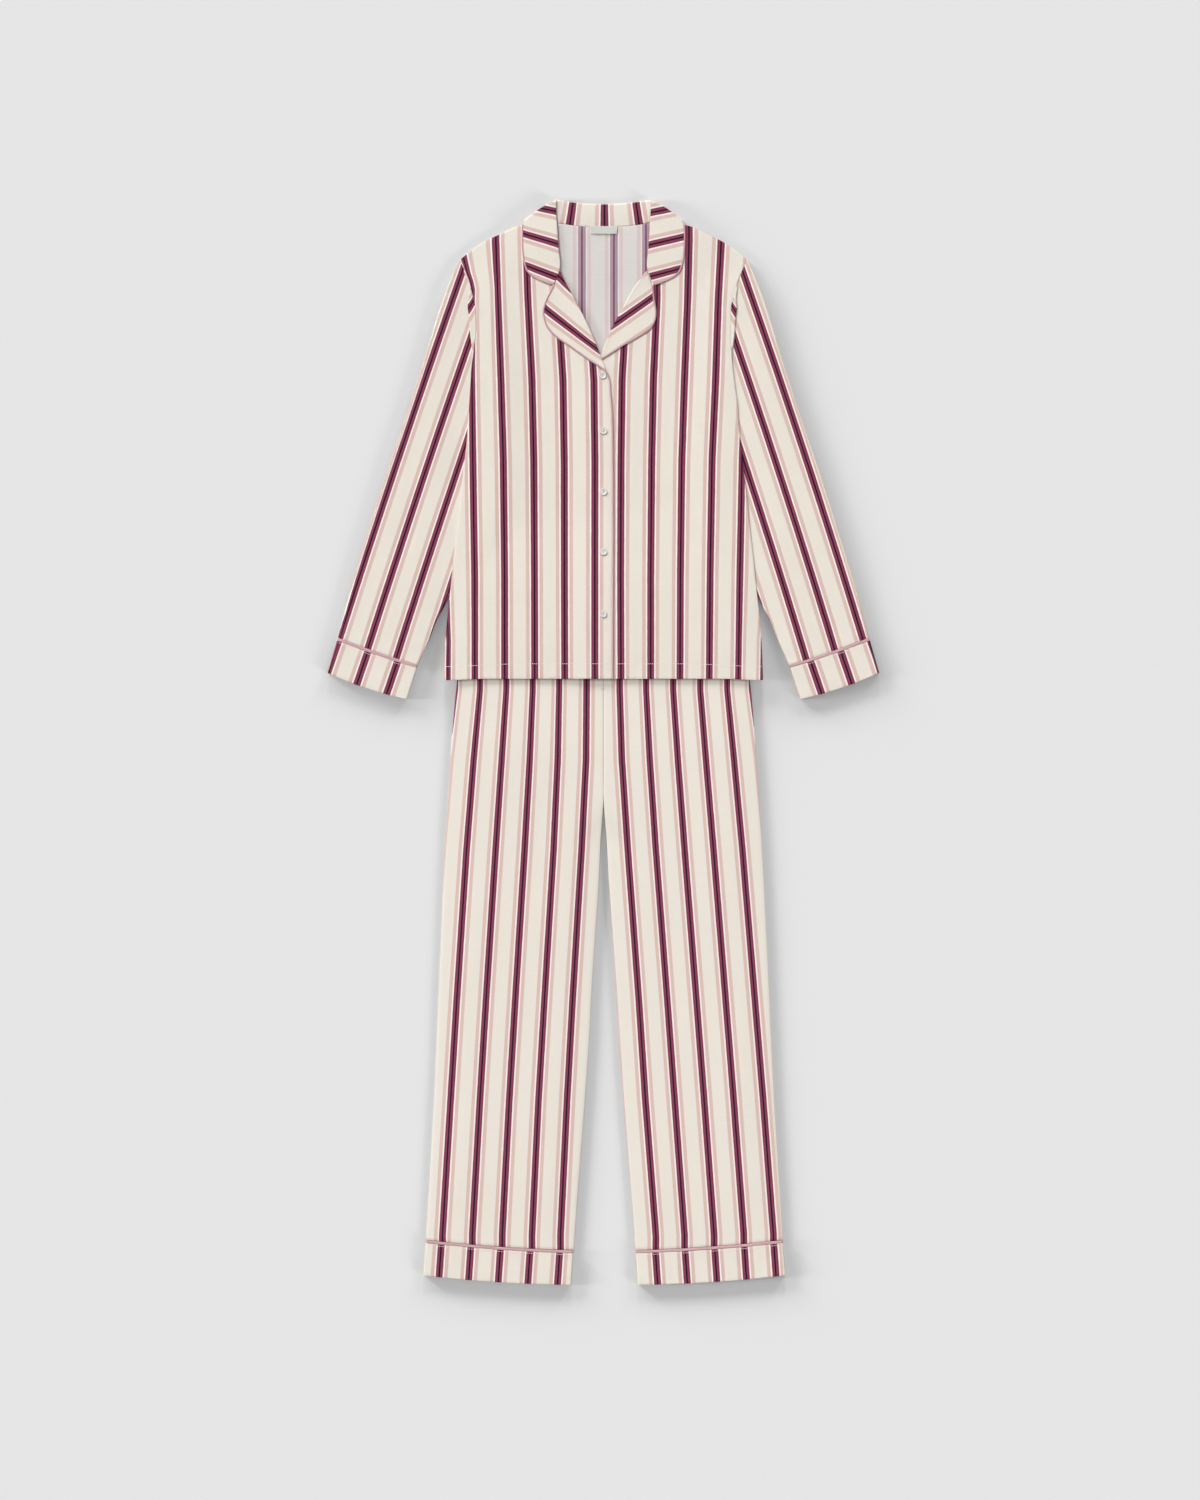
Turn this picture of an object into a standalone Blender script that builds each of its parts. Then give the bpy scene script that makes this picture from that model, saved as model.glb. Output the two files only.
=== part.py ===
"""Striped pyjama set laid flat: a piped shirt with its hem lying over the waist of the trousers.

Tables are in millimetres: x across from the centre line, y along the set from its middle.
The wearer's right is at -x.  Heights are measured up from the surface the set lies on.
"""

import math

import bmesh
import bpy
import numpy as np

MM = 0.001

# Cloth and trim
CLOTH = 1.1                 # wall of one layer of cloth
DOUBLED = 1.4               # wall of cuffs and bands, which are cut double
LAYER_GAP = 0.4             # air between layers that lie on each other
SEAM = 0.3                  # space between pieces that are sewn edge to edge
PIPING_RADIUS = 1.1
GORGE_GAP = 1.5             # collar leaf to lapel, at the notch
PIPING_INSET = 3.0          # from the piped edge in to the cloth's own edge
RING_PIPING = 3.8           # width of the piping that shows at cuffs and hems
RIM_ALLOWANCE = 0.15        # the rims of a domed ring lean out by this much
ROLL_RADIUS = 1.2           # turn of the cloth at a rolled edge
ROLL_TURN = math.radians(120)

# Heights
SLEEVE_THICK = 2.8          # flattened sleeve where the shirt lies on it
SLEEVE_CROWN = 1.4          # what the free sleeve adds to that
CUFF_THICK = 4.4
WAISTBAND_THICK = 3.6
HEM_BAND_THICK = 4.2
PIPING_PROUD = 0.5
COLLAR_LIFT = 1.5           # shirt over the fall of the collar
SLEEVE_LIFT = 3.3           # shirt over the tucked side of a sleeve
TROUSER_LIFT = 4.0          # shirt over the waist of the trousers
SIDE_DROOP = 0.45           # share of that lift lost past the trousers' side
SHIRT_CROWN = 0.9           # fronts stand off the back
LEG_CROWN = 1.7             # front legs stand off the back legs
WAIST_CROWN = 0.8           # the same, under the shirt
LAP_LIFT = CLOTH + LAYER_GAP
STAND_CROWN = 0.5           # collar stand, between its fold and its seam
BUTTON_REST = 0.05          # button above the cloth it is sewn to

# Where those heights come in: from none at the first place to all of it at the second
COLLAR_RISE = (615, 685)    # along
COLLAR_SIDE = (172, 118)    # across
SLEEVE_TOP = (674, 620)
SLEEVE_END = (162, 202)
SLEEVE_TUCK = (60, 0)       # in from the edge of the tucked sleeve
TROUSER_RISE = (288, 216)
DROOP_RISE = (8, 33)        # out from the trousers' side
EDGE_RISE = (0, 45)         # in from a side, a shoulder or a leg's seams
HEM_RISE = (88.2, 128.2)
LAP_RISE = (-54, -18)
SLEEVE_RISE = (3, 48)       # out from the shirt's side
LEG_RISE = (70, -20)
LEG_HEM_RISE = (-712, -602)

# Shirt, right half
SHOULDER = (  # x, y: neck point to shoulder tip
    (77, 738), (96, 730), (113.5, 723.6), (123.8, 720.8), (131.6, 716.8), (173.6, 695.8), (200, 675),
)
BACK_NECK = ((77, 738), (72.5, 728), (67, 724.6), (60, 724), (32, 722.6), (0, 722.2))
SHIRT_SIDE = (  # x, y: shoulder tip, armhole, underarm, side seam, hem
    (200, 675), (191, 655), (185.5, 640), (181.3, 624), (178.5, 612), (183, 595), (184.5, 577),
    (184, 549), (185.5, 507), (188.3, 465), (191.1, 423), (196, 381), (201, 339), (205, 297),
    (210, 255), (214.2, 213), (217.7, 171), (220.5, 129), (222, 88.2),
)
SHIRT_HEM = 88.2
UPPER_FRONT_EDGE = (  # x, y: neck point, along the roll, then straight down the front
    (-77, 738), (-71, 712), (-68, 688), (-66, 664), (-59.5, 648), (-48, 627.5), (-39.5, 611.5),
    (-31, 594), (-19.8, 569.5), (-9, 542), (-2.5, 526), (5, 511), (9.1, 498), (10.8, 480),
    (11.2, 440), (11.2, 88.2),
)
LOWER_FRONT_EDGE = (
    (77, 738), (71, 712), (68, 688), (66, 662), (46.5, 637), (33, 612), (23.5, 594), (10.6, 563),
    (6.4, 548), (0.5, 532), (-9, 512), (-13.4, 488), (-14, 460), (-14, 88.2),
)

# Lapels: roll line and piped edge, notch to tip
UPPER_ROLL = (
    (-61.8, 661), (-56, 648.2), (-44.8, 627.8), (-36, 611.8), (-27.2, 594.2), (-16, 569.8),
    (-4.8, 542.5), (-1.8, 534.8), (2.1, 525.4), (4, 521.5),
)
UPPER_LAPEL_EDGE = (
    (-71, 638), (-76.5, 627.8), (-82.6, 614.6), (-85.1, 603.4), (-84, 592.2), (-78.4, 578.6),
    (-67.2, 567.4), (-47.2, 554), (-24.9, 538.4), (-6.7, 526.4), (0.5, 521.2), (5, 517.2),
)
LAPEL_TIP = 4.0                   # a lapel ends where it is this narrow
FRONT_EDGE = ((8.8, 512), (11.9, 502), (13.6, 488), (14.5, 470), (14.7, 440), (14.7, 88.5))
LOWER_ROLL = (
    (61.2, 660), (55.4, 652.5), (42, 634.2), (29.8, 609.8), (19.6, 592.2), (6.8, 560.7), (3, 548),
)
LOWER_LAPEL_EDGE = (
    (69.5, 638), (71.6, 618.8), (74.2, 603.4), (72.8, 589.8), (66.6, 578.6), (51, 567.4),
    (24.2, 551.9), (15.8, 546.5), (7, 541.5),
)

# Collar, right half
NECK_SEAM = (723.2, 5.0)          # y at the centre back, and its rise at COLLAR_HALF
COLLAR_TOP = (752.5, 6.3)
COLLAR_FALL = (688.0, 8.0)
COLLAR_HALF = 66.0                # half the stretch of stand between the leaves
LEAF_FOLD = ((67.2, 758.8), (81, 751.5), (98, 740.3), (114, 729.5))
LEAF_ROLL = ((67.2, 758.8), (67.0, 742), (65, 714), (63, 688), (61.3, 662), (65, 651), (70.3, 638.2))
LEAF_OUTER = ((114, 729.5), (114.6, 705.6), (113.6, 684), (111, 668))
LEAF_LOWER = ((70.3, 638.2), (86, 644), (99, 650.5), (106.5, 657), (111, 668))
LEAF_RETURN = ((71.5, 697.5), (112, 713))   # end of the leaf that turns under the back

# Sleeves, right half
SLEEVE_OUTER = (
    (202, 675), (219.8, 633), (233.8, 591), (246.4, 549), (273, 465), (301.7, 381), (328.3, 297),
    (353.9, 213), (371.2, 147.4),
)
SLEEVE_CAP = (
    (202, 675), (192, 655.5), (186.3, 640.5), (182.0, 624), (178.9, 611), (172, 580), (163, 535),
    (155.4, 490),
)
SLEEVE_INNER = (
    (155.4, 490), (147, 437), (144.2, 381), (152.6, 325), (172.2, 272), (194.6, 234), (213.6, 205),
    (225, 185.6), (233, 171.2), (241, 150.4), (250.6, 127.8), (258.5, 112.0),
)
CUFF_SEAM = ((372.1, 144.8), (259.2, 109.3))
CUFF_END = ((386.0, 96.6), (275.0, 59.5))

# Trousers, right half
WAIST_TOP = 198.8
WAIST_SEAM = 161.0
TROUSER_SIDE = (
    (187.6, 161), (197.4, 128.8), (204.4, 88.2), (209.3, 37.8), (214.9, -32.2), (221, -102.2),
    (223.4, -172.2), (227.5, -277.2), (231, -347.2), (233.9, -417.2), (236.8, -487.2),
    (240.8, -557.2), (245, -627.2), (250.1, -696.4),
)
CROTCH = -77.0
INSIDE_LEG = (
    (0.15, -77), (4.2, -137.2), (7.7, -207.2), (12.6, -277.2), (17.2, -347.2), (21, -417.2),
    (26, -487.2), (31.5, -557.2), (37.1, -627.2), (43.2, -710.2),
)
HEM_SEAM = ((250.3, -698.6), (43.3, -712.4))
HEM_END = ((254.2, -746.2), (46.6, -758.8))
WAIST_HALF = 185.5
CENTRE_SEAM = ((0.15, 80), (0.15, 0), (0.15, -50))

# Buttons and label
BUTTON_HEIGHTS = (513.0, 435.4, 350.0, 266.0, 179.2)
BUTTON_RADIUS = 5.1
BUTTON_PROFILE = (  # radius, height: down the outside
    (0, 1.3), (3.2, 1.3), (3.8, 2.0), (4.7, 2.0), (5.1, 1.5), (5.1, 0.8), (4.1, 0), (0, 0),
)
THREAD_HOLE = 0.6
THREAD_HOLE_PITCH = 1.25
HOLE_DEPTH = 6.0
LABEL = (38.0, 11.0, 1.0)
LABEL_MIDDLE = (1.0, 716.0)

STRIPED = (0.80, 0.73, 0.68)
PINK = (0.62, 0.36, 0.38)
PEARL = (0.85, 0.83, 0.80)
WOVEN_WHITE = (0.78, 0.78, 0.76)
CLOTH_ROUGHNESS = 0.85


def ease(share):
    """Smooth step from 0 to 1."""
    share = min(max(share, 0.0), 1.0)
    return share * share * (3 - 2 * share)


def ramp(value, start, end):
    """Smooth step from 0 at start to 1 at end."""
    return ease((value - start) / (end - start))


class Edge:
    """A smooth line through the rows of a table, read by its share of length."""

    def __init__(self, rows, side=1, steps=6):
        rows = np.array(rows, float) * (side, 1)
        gaps = np.linalg.norm(np.diff(rows, axis=0), axis=1)
        slopes = np.diff(rows, axis=0) / gaps[:, None]
        turns = [slopes[0]]
        for k in range(1, len(gaps)):
            before = gaps[k] / (gaps[k - 1] + gaps[k])
            turns.append(slopes[k - 1] * before + slopes[k] * (1 - before))
        turns.append(slopes[-1])
        points = []
        for k, gap in enumerate(gaps):
            for t in np.arange(steps) / steps:
                points.append(
                    rows[k] * (1 + 2 * t) * (1 - t) ** 2
                    + turns[k] * gap * t * (1 - t) ** 2
                    + rows[k + 1] * t * t * (3 - 2 * t)
                    + turns[k + 1] * gap * t * t * (t - 1)
                )
        points.append(rows[-1])
        self.points = np.array(points)
        self.lengths = np.append(0, np.cumsum(np.linalg.norm(np.diff(self.points, axis=0), axis=1)))

    def at(self, share):
        where = share * self.lengths[-1]
        return np.array([np.interp(where, self.lengths, self.points[:, k]) for k in (0, 1)])

    def moved(self, distance):
        """Points moved to the left of the way the line runs, or to the right if negative."""
        way = np.gradient(self.points, axis=0)
        way /= np.linalg.norm(way, axis=1)[:, None]
        return self.points + distance * np.column_stack((-way[:, 1], way[:, 0]))


def across_at(rows, y):
    """x of a table's line at height y."""
    rows = sorted(rows, key=lambda row: row[1])
    return float(np.interp(y, [row[1] for row in rows], [row[0] for row in rows]))


def shirt_half(y):
    return across_at(SHIRT_SIDE, y)


# Heights of the layers, in millimetres above the surface

def collar_lift(x, y):
    return COLLAR_LIFT * ramp(y, *COLLAR_RISE) * ramp(abs(x), *COLLAR_SIDE)


def sleeve_lift(x, y):
    inside = across_at(SLEEVE_CAP[4:] + SLEEVE_INNER[1:7], y) - abs(x)
    return SLEEVE_LIFT * ramp(inside, *SLEEVE_TUCK) * ramp(y, *SLEEVE_TOP) * ramp(y, *SLEEVE_END)


def trouser_lift(x, y):
    past = abs(x) - across_at(TROUSER_SIDE, y)
    return TROUSER_LIFT * ramp(y, *TROUSER_RISE) * (1 - SIDE_DROOP * ramp(past, *DROOP_RISE))


def lift(x, y):
    """Underside of the shirt's back."""
    return max(collar_lift(x, y), sleeve_lift(x, y), trouser_lift(x, y))


def back_level(x, y):
    return lift(x, y) + CLOTH / 2


def crown(x, y):
    from_side = shirt_half(y) - abs(x)
    from_shoulder = float(np.interp(abs(x), [r[0] for r in SHOULDER], [r[1] for r in SHOULDER])) - y
    return SHIRT_CROWN * ramp(from_side, *EDGE_RISE) * ramp(from_shoulder, *EDGE_RISE) * ramp(y, *HEM_RISE)


def lower_front_level(x, y):
    return back_level(x, y) + CLOTH + LAYER_GAP + crown(x, y)


def upper_front_level(x, y):
    return lower_front_level(x, y) + LAP_LIFT * ramp(x, *LAP_RISE)


def lapel_level(front_level):
    return lambda x, y: front_level(x, y) + CLOTH + LAYER_GAP


def sleeve_thick(x, y):
    return SLEEVE_THICK + SLEEVE_CROWN * ramp(abs(x) - shirt_half(y), *SLEEVE_RISE)


def back_leg_level(x, y):
    return CLOTH / 2


def front_leg_level(x, y):
    inside = across_at(((-EDGE_RISE[1], CROTCH),) + INSIDE_LEG[1:], y)
    edges = ramp(across_at(TROUSER_SIDE, y) - abs(x), *EDGE_RISE) * ramp(abs(x) - inside, *EDGE_RISE)
    fullness = WAIST_CROWN + (LEG_CROWN - WAIST_CROWN) * ramp(y, *LEG_RISE) * ramp(y, *LEG_HEM_RISE)
    return CLOTH * 1.5 + LAYER_GAP + fullness * edges


# Building

def blended(top, bottom, inner, outer, columns, rows):
    """Grid of plan points between four edges: top and bottom run inner to outer."""
    grid = []
    for v in rows:
        row = []
        for u in columns:
            edges = (1 - v) * top.at(u) + v * bottom.at(u) + (1 - u) * inner.at(v) + u * outer.at(v)
            upper = (1 - u) * top.at(0) + u * top.at(1)
            lower = (1 - u) * bottom.at(0) + u * bottom.at(1)
            row.append(edges - (1 - v) * upper - v * lower)
        grid.append(row)
    return grid


def shares(count):
    return [k / count for k in range(count + 1)]


def raised(grid, level):
    return [[(x, y, level(x, y)) for x, y in row] for row in grid]


def pulled(point, towards, distance):
    point = np.array(point, float)
    way = np.array(towards, float) - point
    return point + way / np.linalg.norm(way) * distance


def rolled(rows, steps=4):
    """Turn the first column's edge down, keeping its furthest reach where it was."""
    result = []
    for row in rows:
        first, second = np.array(row[0], float), np.array(row[1], float)
        way = (first - second) * (1, 1, 0)
        way /= np.linalg.norm(way)
        start = first - way * (ROLL_RADIUS + CLOTH / 2)
        turn = []
        for k in range(steps, 0, -1):
            angle = ROLL_TURN * k / steps
            drop = np.array((0, 0, 1 - math.cos(angle)))
            turn.append(start + ROLL_RADIUS * (way * math.sin(angle) - drop))
        result.append(turn + [start] + list(row[1:]))
    return result


def new_object(name, data, material, parent):
    data.materials.append(material)
    obj = bpy.data.objects.new(name, data)
    obj.parent = parent
    COLLECTION.objects.link(obj)
    return obj


def cloth_object(name, rows, material, parent, wall=CLOTH, ring=False):
    """A grid of points given its wall by Solidify; a ring joins each row's ends."""
    mesh = bpy.data.meshes.new(name)
    bm = bmesh.new()
    grid = [[bm.verts.new([value * MM for value in point]) for point in row] for row in rows]
    for upper, lower in zip(grid, grid[1:]):
        count = len(upper) if ring else len(upper) - 1
        for k in range(count):
            j = (k + 1) % len(upper)
            bm.faces.new((upper[k], lower[k], lower[j], upper[j]))
    bmesh.ops.recalc_face_normals(bm, faces=bm.faces)
    bm.to_mesh(mesh)
    bm.free()
    mesh.shade_smooth()
    obj = new_object(name, mesh, material, parent)
    solidify = obj.modifiers.new("wall", "SOLIDIFY")
    solidify.thickness = wall * MM
    solidify.offset = 0
    return obj


def tube_rows(plan, thick, wall, folds=3):
    """Rings round a flattened tube whose plan grid runs from its outer to its inner fold."""
    rings = []
    for row in plan:
        low, high = [], []
        for k, point in enumerate(row):
            height = thick(*point)
            radius = (height - wall) / 2
            if k == 0:
                point = pulled(point, row[1], radius + wall / 2)
            elif k == len(row) - 1:
                point = pulled(point, row[-2], radius + wall / 2)
            low.append((*point, wall / 2))
            high.append((*point, height - wall / 2))
        ring = low + fold(low[-1], high[-1], row[-1] - row[-2], folds)
        ring += high[::-1] + fold(high[0], low[0], row[0] - row[1], folds)
        rings.append(ring)
    return rings


def fold(start, end, way, count):
    """Points on the half circle from start to end, bulging along way."""
    start, end = np.array(start), np.array(end)
    way = np.append(way / np.linalg.norm(way), 0)
    middle, arm = (start + end) / 2, (start - end) / 2
    reach = np.linalg.norm(arm)
    angles = [math.pi * (k + 1) / (count + 1) for k in range(count)]
    return [middle + arm * math.cos(a) + way * reach * math.sin(a) for a in angles]


def band_plan(seam, end, side, start, stop, columns):
    """Plan grid of a band between two lines, from start to stop measured from the seam."""
    seam, end = np.array(seam) * (side, 1), np.array(end) * (side, 1)
    length = np.linalg.norm(end - seam, axis=1).mean()
    grid = []
    for distance in (start, (start + stop) / 2, stop):
        line = seam + (end - seam) * distance / length
        grid.append([line[0] + (line[1] - line[0]) * u for u in shares(columns)])
    return grid, length


def piping_ring(name, seam, end, side, thick, material, parent):
    half = RING_PIPING / 2
    plan, _ = band_plan(seam, end, side, -half, half, 10)
    heights = (thick, thick + PIPING_PROUD, thick)
    rings = []
    for row, height in zip(plan, heights):
        rings += tube_rows([row], lambda x, y, h=height: h, DOUBLED)
    return cloth_object(name, rings, material, parent, DOUBLED, ring=True)


def piping_cord(name, points, material, parent):
    curve = bpy.data.curves.new(name, "CURVE")
    curve.dimensions = "3D"
    curve.bevel_depth = PIPING_RADIUS * MM
    curve.bevel_resolution = 2
    curve.use_fill_caps = True
    spline = curve.splines.new("POLY")
    spline.points.add(len(points) - 1)
    for spot, point in zip(spline.points, points):
        spot.co = (*(value * MM for value in point), 1)
    return new_object(name, curve, material, parent)


def finish(name, colour, roughness):
    material = bpy.data.materials.new(name)
    material.use_nodes = True
    shader = material.node_tree.nodes["Principled BSDF"]
    shader.inputs["Base Color"].default_value = (*colour, 1)
    shader.inputs["Roughness"].default_value = roughness
    shader.inputs["Metallic"].default_value = 0
    return material


def striped(name):
    return finish(name, STRIPED, CLOTH_ROUGHNESS)


# Pieces of the shirt

def make_back(parent):
    shoulder = Edge(SHOULDER[::-1], -1).points
    neck = Edge(BACK_NECK, -1).points
    half = np.vstack((shoulder[:-1], neck))
    top = Edge(np.vstack((half, (half * (-1, 1))[-2::-1])), steps=1)
    hem = Edge(((-SHIRT_SIDE[-1][0], SHIRT_HEM), (SHIRT_SIDE[-1][0], SHIRT_HEM)))
    grid = blended(top, hem, Edge(SHIRT_SIDE, -1), Edge(SHIRT_SIDE), shares(22), shares(28))
    cloth_object("shirt_back", raised(grid, back_level), striped("back_stripe"), parent)


def make_front(name, front_edge, side, level, columns, parent):
    hem = Edge((front_edge[-1], (side * SHIRT_SIDE[-1][0], SHIRT_HEM)))
    grid = blended(
        Edge(SHOULDER, side), hem, Edge(front_edge), Edge(SHIRT_SIDE, side), columns, shares(28)
    )
    cloth_object(name, raised(grid, level), striped(name + "_stripe"), parent)


def make_lapel(name, roll, piped_edge, front_level, parent):
    side = math.copysign(1, piped_edge[0][0])
    outer = Edge(Edge(piped_edge).moved(-side * PIPING_INSET), steps=1)
    gorge = Edge((roll[0], outer.at(0)))
    tip = Edge((roll[-1], outer.at(1)))
    grid = blended(gorge, tip, Edge(roll), outer, shares(4), shares(10)[:-1] + [0.94, 0.97, 1])
    grid[0] = [pulled(point, below, GORGE_GAP) for point, below in zip(grid[0], grid[1])]
    grid = [row for row in grid if (row[-1] - row[0])[0] * side > LAPEL_TIP]
    rows = rolled(raised(grid, lapel_level(front_level)))
    cloth_object(name, rows, striped(name + "_stripe"), parent)


def make_collar_back(parent):
    rows = []
    top_level = COLLAR_LIFT + CLOTH / 2
    radius = (top_level - CLOTH / 2) / 2
    for x in (COLLAR_HALF * (2 * share - 1) for share in shares(12)):
        rise = (x / COLLAR_HALF) ** 2
        seam, top, fall = (y + more * rise for y, more in (NECK_SEAM, COLLAR_TOP, COLLAR_FALL))
        under, over = (x, top - radius - CLOTH / 2, CLOTH / 2), (x, top - radius - CLOTH / 2, top_level)
        behind = [(x, fall + (under[1] - fall) * share, CLOTH / 2) for share in shares(3)[:-1]]
        stand = [
            (x, over[1] + (seam - over[1]) * share, top_level + STAND_CROWN * math.sin(math.pi * share))
            for share in shares(4)[1:]
        ]
        rows.append(behind + [under] + fold(under, over, np.array((0, 1)), 3) + [over] + stand)
    cloth_object("collar_back", rows, striped("collar_stripe"), parent)


def leaf_outline(side):
    """The leaf's piped edge, and where on it the outer side turns into the lower."""
    steps = 6
    outline = Edge(LEAF_OUTER[:-1] + LEAF_LOWER[::-1], side, steps)
    return outline, steps * (len(LEAF_OUTER) - 1)


def make_leaf(name, side, parent):
    level = lapel_level(lower_front_level)
    outline, corner = leaf_outline(side)
    inset = outline.moved(-side * PIPING_INSET)
    outer = Edge(inset[: corner + 1], steps=1)
    lower = Edge(inset[corner:][::-1], steps=1)
    folded = Edge(((LEAF_FOLD[0]),) + LEAF_FOLD[1:-1] + ((outer.at(0) * (side, 1)),), side)
    roll = Edge(LEAF_ROLL[:-1] + ((lower.at(0) * (side, 1)),), side)
    grid = blended(folded, lower, roll, outer, shares(5), shares(9))
    leaf = raised(grid, level)
    under, bend, first = [], [], []
    ends = Edge(LEAF_RETURN, side)
    for k, (point, below) in enumerate(zip(grid[0], grid[1])):
        height = level(*point)
        radius = (height - CLOTH / 2) / 2
        way = (point - below) / np.linalg.norm(point - below)
        spot = point - way * (radius + CLOTH / 2)
        low, high = (*spot, CLOTH / 2), (*spot, height)
        end = (*ends.at(k / (len(grid[0]) - 1)), CLOTH / 2)
        under.append((end, low))
        bend.append(fold(low, high, way, 4))
        first.append(high)
    turned = [[pair[0] for pair in under], [pair[1] for pair in under]]
    turned += [[points[k] for points in bend] for k in range(4)] + [first]
    return cloth_object(name, turned + leaf[1:], striped(name + "_stripe"), parent)


def on_front(points, front_level, count):
    """Piping laid on a front: plan points given the height that rests it there."""
    line = Edge(points, steps=1)
    spots = [line.at(share) for share in shares(count)]
    rest = CLOTH / 2 + LAYER_GAP + PIPING_RADIUS
    return [(x, y, front_level(x, y) + rest) for x, y in spots]


def make_shirt_piping(material, parent):
    for side, word in ((-1, "right"), (1, "left")):
        outline, _ = leaf_outline(side)
        line = outline.moved(-side * PIPING_RADIUS)[2:-1]
        piping_cord("collar_piping_" + word, on_front(line, lower_front_level, 20), material, parent)
    upper = Edge(UPPER_LAPEL_EDGE).moved(PIPING_RADIUS)
    piping = on_front(upper, upper_front_level, 20)
    edge = Edge(FRONT_EDGE).moved(-PIPING_RADIUS)
    piping += on_front(edge, lower_front_level, 26)
    piping_cord("front_piping_right", piping, material, parent)
    lower = Edge(LOWER_LAPEL_EDGE).moved(-PIPING_RADIUS)
    piping_cord("front_piping_left", on_front(lower, lower_front_level, 18), material, parent)


def make_sleeve(word, side, piping, parent):
    columns = (0, 0.05, 0.2, 0.36, 0.52, 0.68, 0.84, 1)
    seam = Edge((SLEEVE_OUTER[-1], SLEEVE_INNER[-1]), side)
    plan = blended(
        Edge(SLEEVE_CAP, side), seam, Edge(SLEEVE_OUTER, side), Edge(SLEEVE_INNER, side),
        columns, shares(20),
    )
    rings = tube_rows(plan, sleeve_thick, CLOTH)
    cloth_object("sleeve_" + word, rings, striped("sleeve_stripe_" + word), parent, ring=True)
    start = RING_PIPING / 2 + SEAM + RIM_ALLOWANCE
    _, length = band_plan(CUFF_SEAM, CUFF_END, side, 0, 1, 10)
    plan, _ = band_plan(CUFF_SEAM, CUFF_END, side, start, length, 10)
    rings = tube_rows(plan, lambda x, y: CUFF_THICK, DOUBLED)
    stripe = striped("cuff_stripe_" + word)
    cloth_object("cuff_" + word, rings, stripe, parent, DOUBLED, ring=True)
    piping_ring("cuff_piping_" + word, CUFF_SEAM, CUFF_END, side, CUFF_THICK, piping, parent)


def make_button_mesh(material):
    profile = bpy.data.meshes.new("button")
    profile.from_pydata(
        [(radius * MM, 0, height * MM) for radius, height in BUTTON_PROFILE],
        [(k, k + 1) for k in range(len(BUTTON_PROFILE) - 1)],
        [],
    )
    master = new_object("button_master", profile, material, None)
    screw = master.modifiers.new("turn", "SCREW")
    screw.steps = screw.render_steps = 16
    screw.use_merge_vertices = True
    screw.merge_threshold = 0.00001
    holes = bpy.data.meshes.new("thread_holes")
    bm = bmesh.new()
    for across in (-1, 1):
        for along in (-1, 1):
            made = bmesh.ops.create_cone(
                bm, cap_ends=True, segments=6, depth=HOLE_DEPTH * MM,
                radius1=THREAD_HOLE * MM, radius2=THREAD_HOLE * MM,
            )
            offset = (across * THREAD_HOLE_PITCH * MM, along * THREAD_HOLE_PITCH * MM, 0)
            bmesh.ops.translate(bm, vec=offset, verts=made["verts"])
    bm.to_mesh(holes)
    bm.free()
    cutter = bpy.data.objects.new("thread_holes", holes)
    cutter.hide_render = True
    cutter.display_type = "WIRE"
    CUTTERS.objects.link(cutter)
    cut = master.modifiers.new("holes", "BOOLEAN")
    cut.object = cutter
    bpy.context.view_layer.update()
    evaluated = master.evaluated_get(bpy.context.evaluated_depsgraph_get())
    mesh = bpy.data.meshes.new_from_object(evaluated)
    mesh.name = "button"
    mesh.shade_smooth()
    mesh.set_sharp_from_angle(angle=math.radians(40))
    bpy.data.objects.remove(master)
    return mesh


def make_buttons(parent):
    mesh = make_button_mesh(finish("button_pearl", PEARL, 0.3))
    for number, y in enumerate(BUTTON_HEIGHTS, 1):
        button = bpy.data.objects.new(f"button_{number}", mesh)
        ahead, behind = (upper_front_level(0, y + step) for step in (BUTTON_RADIUS, -BUTTON_RADIUS))
        sag = max(upper_front_level(0, y) - (ahead + behind) / 2, 0)
        height = (ahead + behind) / 2 + sag + CLOTH / 2 + LAYER_GAP + BUTTON_REST
        button.location = (0, y * MM, height * MM)
        button.rotation_euler.x = math.atan2(ahead - behind, 2 * BUTTON_RADIUS)
        button.parent = parent
        COLLECTION.objects.link(button)


def make_label(parent):
    bpy.ops.mesh.primitive_cube_add(size=1)
    label = bpy.context.active_object
    bpy.context.collection.objects.unlink(label)
    label.name = label.data.name = "neck_label"
    label.data.transform(np.diag((LABEL[0] * MM, LABEL[1] * MM, LABEL[2] * MM, 1)).tolist())
    x, y = LABEL_MIDDLE
    label.location = (x * MM, y * MM, (COLLAR_LIFT + CLOTH + SEAM + LABEL[2] / 2) * MM)
    label.data.materials.append(finish("label_woven", WOVEN_WHITE, CLOTH_ROUGHNESS))
    label.parent = parent
    COLLECTION.objects.link(label)


# Pieces of the trousers

def make_leg(name, side, level, parent):
    middle, outside = (CENTRE_SEAM[0][0], WAIST_SEAM - SEAM), (TROUSER_SIDE[0][0], WAIST_SEAM - SEAM)
    top, hem = Edge((middle, outside), side), Edge((INSIDE_LEG[-1], TROUSER_SIDE[-1]), side)
    inner = Edge((middle,) + CENTRE_SEAM + INSIDE_LEG, side)
    outer = Edge((outside,) + TROUSER_SIDE[1:], side)
    columns = (0, 0.1, 0.22, 0.4, 0.6, 0.78, 0.9, 1)
    grid = blended(top, hem, inner, outer, columns, shares(18))
    cloth_object(name, raised(grid, level), striped(name + "_stripe"), parent)


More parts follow.
